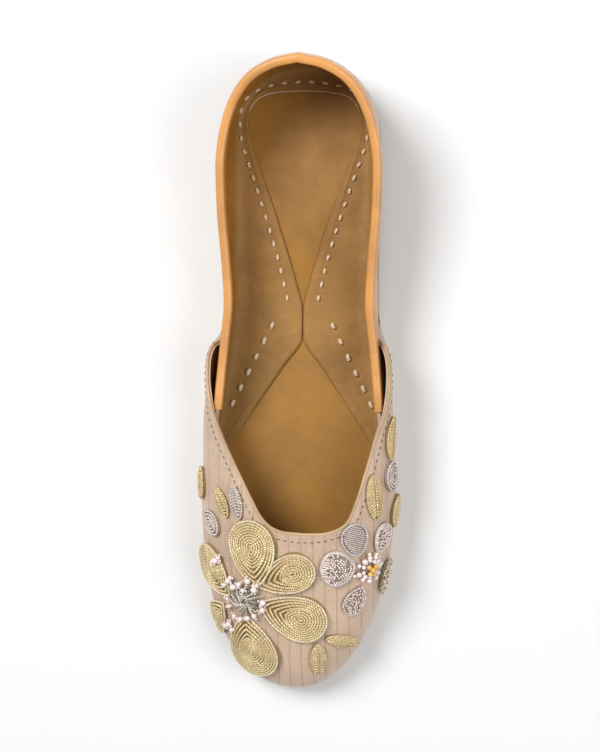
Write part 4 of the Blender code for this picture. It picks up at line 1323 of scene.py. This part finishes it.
def silver_flower_centre():
    """A knot of amber beads ringed by cream and white ones."""
    name = "silver_flower_centre"
    seat = Seat(motif_named(name))
    maker = Maker()
    pad(maker, seat, 1.0, slot=2)
    rng = random.Random(name)
    for i in range(11):
        turn = 2 * math.pi * (i + rng.uniform(-0.2, 0.2)) / 11
        for reach, radius, slot in ((3.3, 0.85, 1), (4.7, 1.0, 1), (6.2, 0.7, 3)):
            if slot == 3 and rng.random() < 0.35:
                continue
            reach += rng.uniform(-0.3, 0.4)
            a, b = reach * math.cos(turn), reach * math.sin(turn)
            size = radius * rng.uniform(0.8, 1.15)
            top = seat.at(a, b, seat.height(a, b) + size * 0.6)
            bead(maker, top, size, seat.up(a, b), rings=6, sides=10, slot=slot)
    for a, b, radius in ((0.0, 0.0, 1.1), (1.7, 0.9, 1.0), (-1.5, 1.2, 0.95), (-0.9, -1.7, 1.0), (1.2, -1.6, 0.9)):
        top = seat.at(a, b, seat.height(a, b) + radius * 0.7)
        bead(maker, top, radius, seat.up(a, b), rings=7, sides=12, slot=0)
    looks = [material("amber"), material("pearl"), material("silver_ground"), material("cream_bead")]
    maker.build(name + "_beads", looks, [name], "amber_beads")


class MojariColours(bpy.types.PropertyGroup):
    """The shoe's colours, as linear values."""

    cloth: FloatVectorProperty(
        name="Cloth", description="Dusty pink silk of the upper", subtype="COLOR", default=(0.6, 0.43, 0.31),
    )
    lining: FloatVectorProperty(
        name="Lining", description="Mustard leather inside the shoe", subtype="COLOR", default=(0.42, 0.19, 0.016),
    )
    wing: FloatVectorProperty(
        name="Wings", description="Lining turned in over the foot bed", subtype="COLOR", default=(0.33, 0.165, 0.035),
    )
    foot_bed: FloatVectorProperty(
        name="Foot Bed", description="Leather that the foot stands on", subtype="COLOR", default=(0.36, 0.165, 0.018),
    )
    binding: FloatVectorProperty(
        name="Binding", description="Rolled leather round the collar", subtype="COLOR", default=(0.68, 0.31, 0.085),
    )
    piping: FloatVectorProperty(
        name="Piping", description="Thin roll along the throat edge", subtype="COLOR", default=(0.56, 0.37, 0.2),
    )
    sole: FloatVectorProperty(
        name="Sole", description="Natural tan sole leather", subtype="COLOR", default=(0.55, 0.36, 0.19),
    )
    heel: FloatVectorProperty(
        name="Heel", description="Stacked heel leather", subtype="COLOR", default=(0.26, 0.14, 0.06),
    )
    gold: FloatVectorProperty(
        name="Gold", description="Bright gold cord", subtype="COLOR", default=(0.95, 0.72, 0.4),
    )
    pale_gold: FloatVectorProperty(
        name="Pale Gold", description="Cord round the petals", subtype="COLOR", default=(0.98, 0.82, 0.55),
    )
    olive: FloatVectorProperty(
        name="Olive", description="Greenish gold beads and cord", subtype="COLOR", default=(0.48, 0.42, 0.17),
    )
    # The ground under the gold cords is coloured as dark as the gaps between them: partly its own colour, partly
    # painted shade.
    gold_dark: FloatVectorProperty(
        name="Gold Ground", description="Gaps between gold cords", subtype="COLOR", default=(0.36, 0.22, 0.08),
    )
    silver: FloatVectorProperty(
        name="Silver", description="Pinkish silver cord", subtype="COLOR", default=(0.88, 0.75, 0.68),
    )
    # The ground under the silver cords and beads is coloured as dark as the gaps: partly its own colour, partly painted
    # shade.
    silver_dark: FloatVectorProperty(
        name="Silver Ground", description="Gaps between silver cords", subtype="COLOR", default=(0.36, 0.28, 0.24),
    )
    amber: FloatVectorProperty(
        name="Amber", description="Amber beads", subtype="COLOR", default=(0.72, 0.3, 0.02),
    )
    pearl: FloatVectorProperty(
        name="Pearl", description="Pearls", subtype="COLOR", default=(0.88, 0.8, 0.76),
    )
    cream_thread: FloatVectorProperty(
        name="Cream Thread", description="Stitches on the lining", subtype="COLOR", default=(0.92, 0.72, 0.5),
    )
    dark_thread: FloatVectorProperty(
        name="Dark Thread", description="Stitches round the throat", subtype="COLOR", default=(0.10, 0.06, 0.035),
    )


class MojariSizes(bpy.types.PropertyGroup):
    """The sizes of the shoe's small things."""

    quilt_spacing: FloatProperty(
        name="Quilting", description="Distance between the vamp's lengthwise rows", unit="LENGTH",
        default=0.0046, min=0.001,
    )
    binding_swell: FloatProperty(
        name="Binding Swell", description="How far the rolled binding stands up", unit="LENGTH",
        default=0.001, min=0.0,
    )


def places_of(operator):
    return operator


class MojariSole(bpy.types.Operator):
    """Make the sole with its arch and toe spring, and the stacked heel."""

    bl_idname = "mojari.sole"
    bl_label = "Sole and Heel"

    def execute(self, context):
        maker = Maker()
        slab(maker, end_spread(0.0, 100.0, 110), lambda place: 0.0, sole_bottom, sole_top, 0.7)
        maker.build("sole", [material("sole")], ["outsole"], "sole_leather", merge=0.01)
        heel = [place for place in end_spread(0.0, 2 * HEEL_FRONT, 64) if place <= HEEL_FRONT]
        maker = Maker()
        slab(maker, heel, lambda place: HEEL_INSET, lambda y: HEEL_TOP_PIECE + GAP,
             lambda y: HEEL_SEAT - GAP, 0.35, 12)
        maker.build("stacked_heel", [material("heel")], ["heel_lift"], "heel_leather", merge=0.01)
        maker = Maker()
        slab(maker, heel, lambda place: HEEL_INSET + HEEL_TAPER, lambda y: 0.0, lambda y: HEEL_TOP_PIECE, 0.4, 12)
        maker.build("heel_tread", [material("heel")], ["heel_top_piece"], "heel_leather", merge=0.01)
        return {"FINISHED"}


def insole_inset(percent):
    behind = QUARTER_INSET + QUARTER_WALL + 2 * GAP
    ahead = VAMP_INSET + VAMP_WALL + 2 * GAP
    return lerp(behind, ahead, clamp((percent - QUARTER_FRONT - 0.5) / 4.0))


class MojariFootBed(bpy.types.Operator):
    """Make the padded foot bed."""

    bl_idname = "mojari.foot_bed"
    bl_label = "Foot Bed"

    def execute(self, context):
        maker = Maker()
        slab(maker, end_spread(0.0, 100.0, 110), insole_inset, insole_bottom, insole_top, 0.9)
        maker.build("foot_bed", [material("foot_bed")], ["insole"], "lining_leather", merge=0.01)
        return {"FINISHED"}


class MojariUpper(bpy.types.Operator):
    """Make the creased upper, cloth outside and leather inside."""

    bl_idname = "mojari.upper"
    bl_label = "Upper"

    def execute(self, context):
        shell().maker.build("shoe_upper", [material("cloth"), material("lining")], ["upper"], "vamp_cloth", merge=0.01)
        return {"FINISHED"}


BINDING_LEATHER = 0.7
BINDING_ROUND = 12


def binding_section(side, percent):
    """Rolled leather round the quarter's rim, a gap away from it."""
    low = 1.0 - BINDING_DEPTH
    reach = GAP + BINDING_LEATHER
    top, bottom = quarter_point(side, percent, 1.0), quarter_point(side, percent, low)
    inner_top = quarter_point(side, percent, 1.0, RIM_WALL)
    inner_bottom = quarter_point(side, percent, low, quarter_depth(low))
    up = (top - bottom).normalized()
    out = (top - inner_top).normalized()
    half = (top - inner_top).length / 2 + reach
    middle = (top + inner_top) / 2
    swell = bpy.context.scene.mojari_sizes.binding_swell / MM
    ring = [bottom + out * GAP, bottom + out * (reach * 0.85)]
    ring += [(bottom + (top - bottom) * part) + out * reach for part in (0.12, 0.4, 0.7)]
    for turn in spread(0.0, math.pi, BINDING_ROUND):
        ring.append(middle + out * half * math.cos(turn) + up * swell * math.sin(turn))
    ring += [inner_top + (inner_bottom - inner_top) * part - out * reach for part in (0.3, 0.6, 0.88)]
    ring += [inner_bottom - out * (reach * 0.85), inner_bottom - out * GAP]
    ring += [inner_top - out * GAP + up * GAP * 0.9, top + out * GAP + up * GAP * 0.9]
    return ring


class MojariBinding(bpy.types.Operator):
    """Make the rolled leather binding of the collar."""

    bl_idname = "mojari.binding"
    bl_label = "Collar Binding"

    def execute(self, context):
        places = spread(0.0, BINDING_FRONT, 110)
        rings = [binding_section(OUTER, place) for place in reversed(places)]
        rings += [binding_section(INNER, place) for place in places[1:]]
        maker = Maker()
        start = maker.grid(rings, wrap_across=True)
        count = len(rings[0])
        maker.cap(start, count, flip=True)
        maker.cap(start + (len(rings) - 1) * count, count)
        maker.build("rolled_binding", [material("binding")], ["collar_binding"], "binding_leather")
        return {"FINISHED"}


WING_ACROSS = 26
WING_TURN_UP = 4.6
WING_TURN_POINTS = 9
DIMPLE_DEPTH = 0.4
DIMPLE_REACH = 1.1

StitchPoint = namedtuple("StitchPoint", "x y")
BACK_STITCHES = [
    StitchPoint(0.0, 115.0), StitchPoint(12.6, 114.0), StitchPoint(20.6, 110.8), StitchPoint(24.8, 105.2),
    StitchPoint(25.6, 99.0), StitchPoint(24.2, 90.0), StitchPoint(19.3, 76.0), StitchPoint(14.0, 60.0),
    StitchPoint(9.6, 45.5), StitchPoint(5.6, 28.0),
]
FRONT_STITCHES = [
    StitchPoint(10.6, 22.8), StitchPoint(16.4, 11.0), StitchPoint(23.1, -2.4), StitchPoint(29.0, -14.4),
]
StitchRow = namedtuple("StitchRow", "path pitch length radius")
STITCH_ROWS = [StitchRow(BACK_STITCHES, 5.4, 2.0, 0.6), StitchRow(FRONT_STITCHES, 7.0, 2.5, 0.78)]


def wing_stitch_places():
    """The middle and the run of each stitch on the wings, with its row."""
    found = []
    for side in (OUTER, INNER):
        for row in STITCH_ROWS:
            steps = [Vector(step) for step in even_steps([(side * x, y) for x, y in row.path], row.pitch)]
            steps.append(Vector((side * row.path[-1].x, row.path[-1].y)))
            for before, after in zip(steps, steps[1:]):
                found.append(((before + after) / 2, (after - before).normalized(), row))
    return found


def wing_section(side, percent, stitches):
    """A lining wing: down the wall in a soft turn, then over the foot bed to its folded inner edge."""
    edge = FOOT_LINES[side].read(percent, QUARTER_INSET + QUARTER_WALL + 2 * GAP)[0]
    inner = Vector((side * smooth_read(WINGS, "inner_x", percent), smooth_read(WINGS, "inner_y", percent)))
    level = insole_top(edge.y) + GAP + WING_THICKNESS
    turn_up = WING_TURN_UP * clamp((QUARTER_FRONT - percent) / 4.0, 0.02, 1.0)
    wall_place = min(percent, QUARTER_FRONT)
    rim = quarter_point(side, wall_place, 1.0).z

    def wall(height, sink):
        part = part_at_height(lambda up: quarter_point(side, wall_place, up, quarter_depth(up)), height)
        point = quarter_point(side, wall_place, part, quarter_depth(part) - sink)
        point.z = height
        return shell().creased(point, rim)

    if percent <= QUARTER_FRONT:
        top, corner, hidden = wall(level + turn_up, 0.05), wall(level, 0.0), wall(level + turn_up * 1.25, 0.9)
    else:
        corner = Vector((edge.x, edge.y, level))
        top, hidden = corner + Vector((0, 0, turn_up)), corner + Vector((0, 0, turn_up * 1.2))
    inward = Vector((inner.x - corner.x, inner.y - corner.y))
    width = inward.length
    reach = min(turn_up * 1.1, width * 0.4)
    start = corner + Vector((*(inward.normalized() * reach), 0.0))
    upper = [hidden]
    for part in spread(0.0, 1.0, WING_TURN_POINTS)[:-1]:
        upper.append(top.lerp(corner, part).lerp(corner.lerp(start, part), part))
    lower = []
    for part in spread(0.0, 1.0, WING_ACROSS):
        point = Vector((start.x, start.y)).lerp(inner, part)
        from_edge = (inner - point).length
        base = insole_top(point.y) + GAP
        rise = 0.14 * math.exp(-((from_edge - 2.6) / 0.5) ** 2) if width > 6 else 0.0
        rise += 0.12 * noise.noise(Vector((point.x * 0.25, point.y * 0.25, 3.0)))
        rise -= 0.6 * clamp(1 - from_edge / 0.7) ** 2
        for middle, run, row in stitches:
            away = point - middle
            if abs(away.x) < 4 and abs(away.y) < 4:
                beside = abs(away.dot(run)) - row.length / 2
                across = away.length_squared - away.dot(run) ** 2
                rise -= DIMPLE_DEPTH * math.exp(-(beside / 0.7) ** 2 - across / DIMPLE_REACH ** 2)
        upper.append(Vector((point.x, point.y, base + WING_THICKNESS + rise)))
        lower.append(Vector((point.x, point.y, base)))
    outside = Vector((corner.x, corner.y, lower[0].z)).lerp(Vector((start.x, start.y, lower[0].z)), 0.1)
    return upper + lower[::-1] + [outside]


class MojariWings(bpy.types.Operator):
    """Make the lining leather that turns in over the foot bed, with its stitches."""

    bl_idname = "mojari.wings"
    bl_label = "Lining Wings"

    def execute(self, context):
        stitches = wing_stitch_places()
        places = spread(0.0, WINGS[-1].foot, 230)
        rings = [wing_section(OUTER, place, stitches) for place in reversed(places)]
        rings += [wing_section(INNER, place, stitches) for place in places[1:]]
        maker = Maker()
        start = maker.grid(rings, wrap_across=True)
        count = len(rings[0])
        maker.cap(start, count, flip=True)
        maker.cap(start + (len(rings) - 1) * count, count)
        maker.build("lining_wings_leather", [material("wing")], ["lining_wings"], "lining_leather", merge=0.01)
        tree = BVHTree.FromPolygons([tuple(point) for point in maker.points], maker.faces)

        def surface(place):
            hit = tree.ray_cast(Vector((place.x, place.y, SKY)), Vector((0, 0, -1)))[0]
            return hit.z if hit else wing_top(place.y)

        threads = Maker()
        rng = random.Random("wing stitches")
        for middle, run, row in stitches:
            turn = Matrix.Rotation(rng.uniform(-0.22, 0.22), 2)
            half = turn @ run * row.length / 2 * rng.uniform(0.85, 1.1)
            points = []
            for part in spread(-1.0, 1.0, 10):
                place = middle + half * part
                lift = row.radius * (0.75 - 1.5 * abs(part) ** 3)
                points.append(Vector((place.x, place.y, surface(middle) + 0.05 + lift)))
            tube(threads, points, [Vector((0, 0, 1))] * len(points), row.radius, 9, 2, 1.4, 0.1, taper=0.55)
        frayed = []
        for place in spread(9.0, 0.0, 40) + spread(0.0, 9.0, 40)[1:]:
            side = OUTER if len(frayed) <= 40 else INNER
            x, y = side * smooth_read(WINGS, "inner_x", place), smooth_read(WINGS, "inner_y", place)
            at = Vector((x + rng.uniform(-0.12, 0.12), y + 0.25 + rng.uniform(-0.15, 0.15)))
            frayed.append(Vector((at.x, at.y, insole_top(y) + GAP + WING_THICKNESS * 0.8 + rng.uniform(0.0, 0.15))))
        tube(threads, frayed, [Vector((0, 0, 1))] * len(frayed), 0.2, 6)
        threads.build("wing_stitches", [material("cream")], [], "lining_leather")
        return {"FINISHED"}


def throat_run(from_edge, start, end, count, lift):
    """Points round the throat, a distance outside its edge, with the direction out of the vamp at each."""
    points, ups = [], []
    sided = [(OUTER, place) for place in spread(start, end, count)]
    sided += [(INNER, place) for place in spread(end, start, count)[1:]]
    for side, place in sided:
        curve = curve_at(vamp_table(side), side, place, VAMP_INSET)
        part = 1.0
        if from_edge:
            end_point, run = on_curve(curve, 1.0), 0.0
            while run < from_edge and part > 0.3:
                part -= 0.005
                point = on_curve(curve, part)
                run += (point - end_point).length
                end_point = point
        point = wall_point(vamp_table(side), side, place, part)
        under = wall_point(vamp_table(side), side, place, part, VAMP_WALL)
        up = (point - under).normalized()
        points.append(point + up * lift)
        ups.append(up)
    return points, ups


class MojariThroat(bpy.types.Operator):
    """Make the piping on the throat edge and the dark stitches outside it."""

    bl_idname = "mojari.throat"
    bl_label = "Throat Piping and Stitches"

    def execute(self, context):
        points, ups = throat_run(0.0, EAR_BACK, 100.0, 150, -0.5)
        maker = Maker()
        tube(maker, points, ups, 0.62, 10)
        maker.build("throat_piping", [material("piping")], [], "binding_leather")
        points, ups = throat_run(2.8, EAR_BACK + 1.5, 100.0, 150, 0.0)
        maker = Maker()
        together = even_steps([(*point, *up) for point, up in zip(points, ups)], 1.3)
        for i in range(0, len(together) - 1, 2):
            first, last = Vector(together[i][:3]), Vector(together[i + 1][:3])
            up = Vector(together[i][3:])
            path = [first.lerp(last, part) + up * 0.12 * (1 - (2 * part - 1) ** 2) for part in spread(0, 1, 4)]
            tube(maker, path, [up] * len(path), 0.16, 6, taper=0.4)
        maker.build("throat_stitches", [material("dark")], [], "vamp_cloth")
        return {"FINISHED"}


class MojariGoldFlower(bpy.types.Operator):
    """Make the large gold flower of coiled cord with its beaded centre."""

    bl_idname = "mojari.gold_flower"
    bl_label = "Gold Flower"

    def execute(self, context):
        for petal in GOLD_PETALS:
            gold_petal(petal)
        gold_flower_centre()
        return {"FINISHED"}


class MojariSilverFlower(bpy.types.Operator):
    """Make the silver flower with its amber centre."""

    bl_idname = "mojari.silver_flower"
    bl_label = "Silver Flower"

    def execute(self, context):
        beaded("silver_petal_1", 0.5, 1.0, rim=True)
        hatched("silver_petal_2", 0.85, 0.5, FINE_CORD)
        beaded("silver_petal_3", 0.48, 1.0, rim=True)
        beaded("silver_petal_4", 0.5, 0.6, spiky=3.2)
        beaded("silver_petal_5", 0.46, 1.0, dark_share=0.3)
        silver_flower_centre()
        return {"FINISHED"}


class MojariLeaves(bpy.types.Operator):
    """Make the gold and silver leaves and buds."""

    bl_idname = "mojari.leaves"
    bl_label = "Leaves and Buds"

    def execute(self, context):
        for name in ("front_leaf_1", "front_leaf_2", "inner_leaf_1", "inner_leaf_2", "outer_leaf_1", "outer_leaf_2"):
            barred(name, GOLD_CORD, "gold_cord", "gold", "gold_ground")
        coiled("inner_leaf_3", GOLD_CORD, "gold_cord", "gold", "gold_ground")
        barred("outer_leaf_3", SILVER_CORD, "silver_cord", "silver", "silver_ground")
        coiled("inner_bud", SILVER_CORD, "silver_cord", "silver", "silver_ground")
        coiled("outer_bud", SILVER_CORD, "silver_cord", "silver", "silver_ground")
        return {"FINISHED"}


CAMERA = Vector((40.0, 9.5, 580.0))
AIM = Vector((0.0, 0.0, 20.0))
FOCAL_PIXELS = 1445.0
PHOTO_HEIGHT = 752.0
SENSOR_HEIGHT = 24.0


def aim_at(thing, target, up):
    """Turn a camera or light toward a point, both in millimetres."""
    back = (thing.location / MM - target).normalized()
    right = up.cross(back).normalized()
    turn = Matrix((right, back.cross(right), back)).transposed()
    thing.rotation_euler = turn.to_euler()


class MojariStage(bpy.types.Operator):
    """Make the pale floor, the soft lights and the camera."""

    bl_idname = "mojari.stage"
    bl_label = "Stage"

    def execute(self, context):
        scene = context.scene
        mesh = bpy.data.meshes.new("floor")
        reach = 1500.0 * MM
        corners = [(-reach, -reach, 0.0), (reach, -reach, 0.0), (reach, reach, 0.0), (-reach, reach, 0.0)]
        mesh.from_pydata(corners, [], [(0, 1, 2, 3)])
        floor = bpy.data.objects.new("floor", mesh)
        scene.collection.objects.link(floor)
        made, w, shader = new_material("floor", (0.86, 0.86, 0.86), 0.7)
        w.feed(shader["Roughness"], w.span(w.noise(w.place(), 30.0), 0.3, 0.7, 0.6, 0.8))
        mesh.materials.append(made)

        camera_data = bpy.data.cameras.new("camera")
        camera_data.sensor_fit = "VERTICAL"
        camera_data.sensor_height = SENSOR_HEIGHT
        camera_data.lens = SENSOR_HEIGHT * FOCAL_PIXELS / PHOTO_HEIGHT
        camera_data.clip_start = 0.01
        camera = bpy.data.objects.new("camera", camera_data)
        camera.location = CAMERA * MM
        aim_at(camera, AIM, Vector((-0.0133, 0.9999, 0.0)))
        scene.collection.objects.link(camera)
        scene.camera = camera

        Light = namedtuple("Light", "name x y z size power")
        for light in (
            Light("key", -430.0, 330.0, 820.0, 480.0, 7.4),
            Light("fill", 560.0, -120.0, 760.0, 700.0, 4.0),
        ):
            data = bpy.data.lights.new(light.name, "AREA")
            data.shape = "DISK"
            data.size = light.size * MM
            data.energy = light.power
            lamp = bpy.data.objects.new(light.name, data)
            lamp.location = Vector((light.x, light.y, light.z)) * MM
            aim_at(lamp, Vector((0, 0, 0)), Vector((0, 0, 1)))
            scene.collection.objects.link(lamp)
        world = scene.world or bpy.data.worlds.new("world")
        scene.world = world
        world.use_nodes = True
        world.node_tree.nodes["Background"].inputs["Color"].default_value = (0.95, 0.98, 1.0, 1.0)
        world.node_tree.nodes["Background"].inputs["Strength"].default_value = 0.3
        scene.view_settings.view_transform = "Standard"
        return {"FINISHED"}


OPERATORS = (
    MojariStage, MojariSole, MojariFootBed, MojariUpper, MojariBinding, MojariWings,
    MojariThroat, MojariGoldFlower, MojariSilverFlower, MojariLeaves,
)


class MojariPanel(bpy.types.Panel):
    """Lists the shoe's pieces, sizes and colours."""

    bl_idname = "VIEW3D_PT_mojari"
    bl_label = "Mojari Shoe"
    bl_space_type = "VIEW_3D"
    bl_region_type = "UI"
    bl_category = "Mojari"

    def draw(self, context):
        for operator in OPERATORS:
            self.layout.operator(operator.bl_idname)
        for group in (context.scene.mojari_sizes, context.scene.mojari_colours):
            for name in group.__annotations__:
                self.layout.prop(group, name)


CLASSES = (MojariColours, MojariSizes, *OPERATORS, MojariPanel)


def register():
    for made in CLASSES:
        bpy.utils.register_class(made)
    bpy.types.Scene.mojari_colours = PointerProperty(type=MojariColours)
    bpy.types.Scene.mojari_sizes = PointerProperty(type=MojariSizes)


def unregister():
    del bpy.types.Scene.mojari_sizes
    del bpy.types.Scene.mojari_colours
    for made in reversed(CLASSES):
        bpy.utils.unregister_class(made)


def main():
    register()
    for operator in OPERATORS:
        group, name = operator.bl_idname.split(".")
        getattr(getattr(bpy.ops, group), name)()
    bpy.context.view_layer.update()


if __name__ == "__main__":
    main()
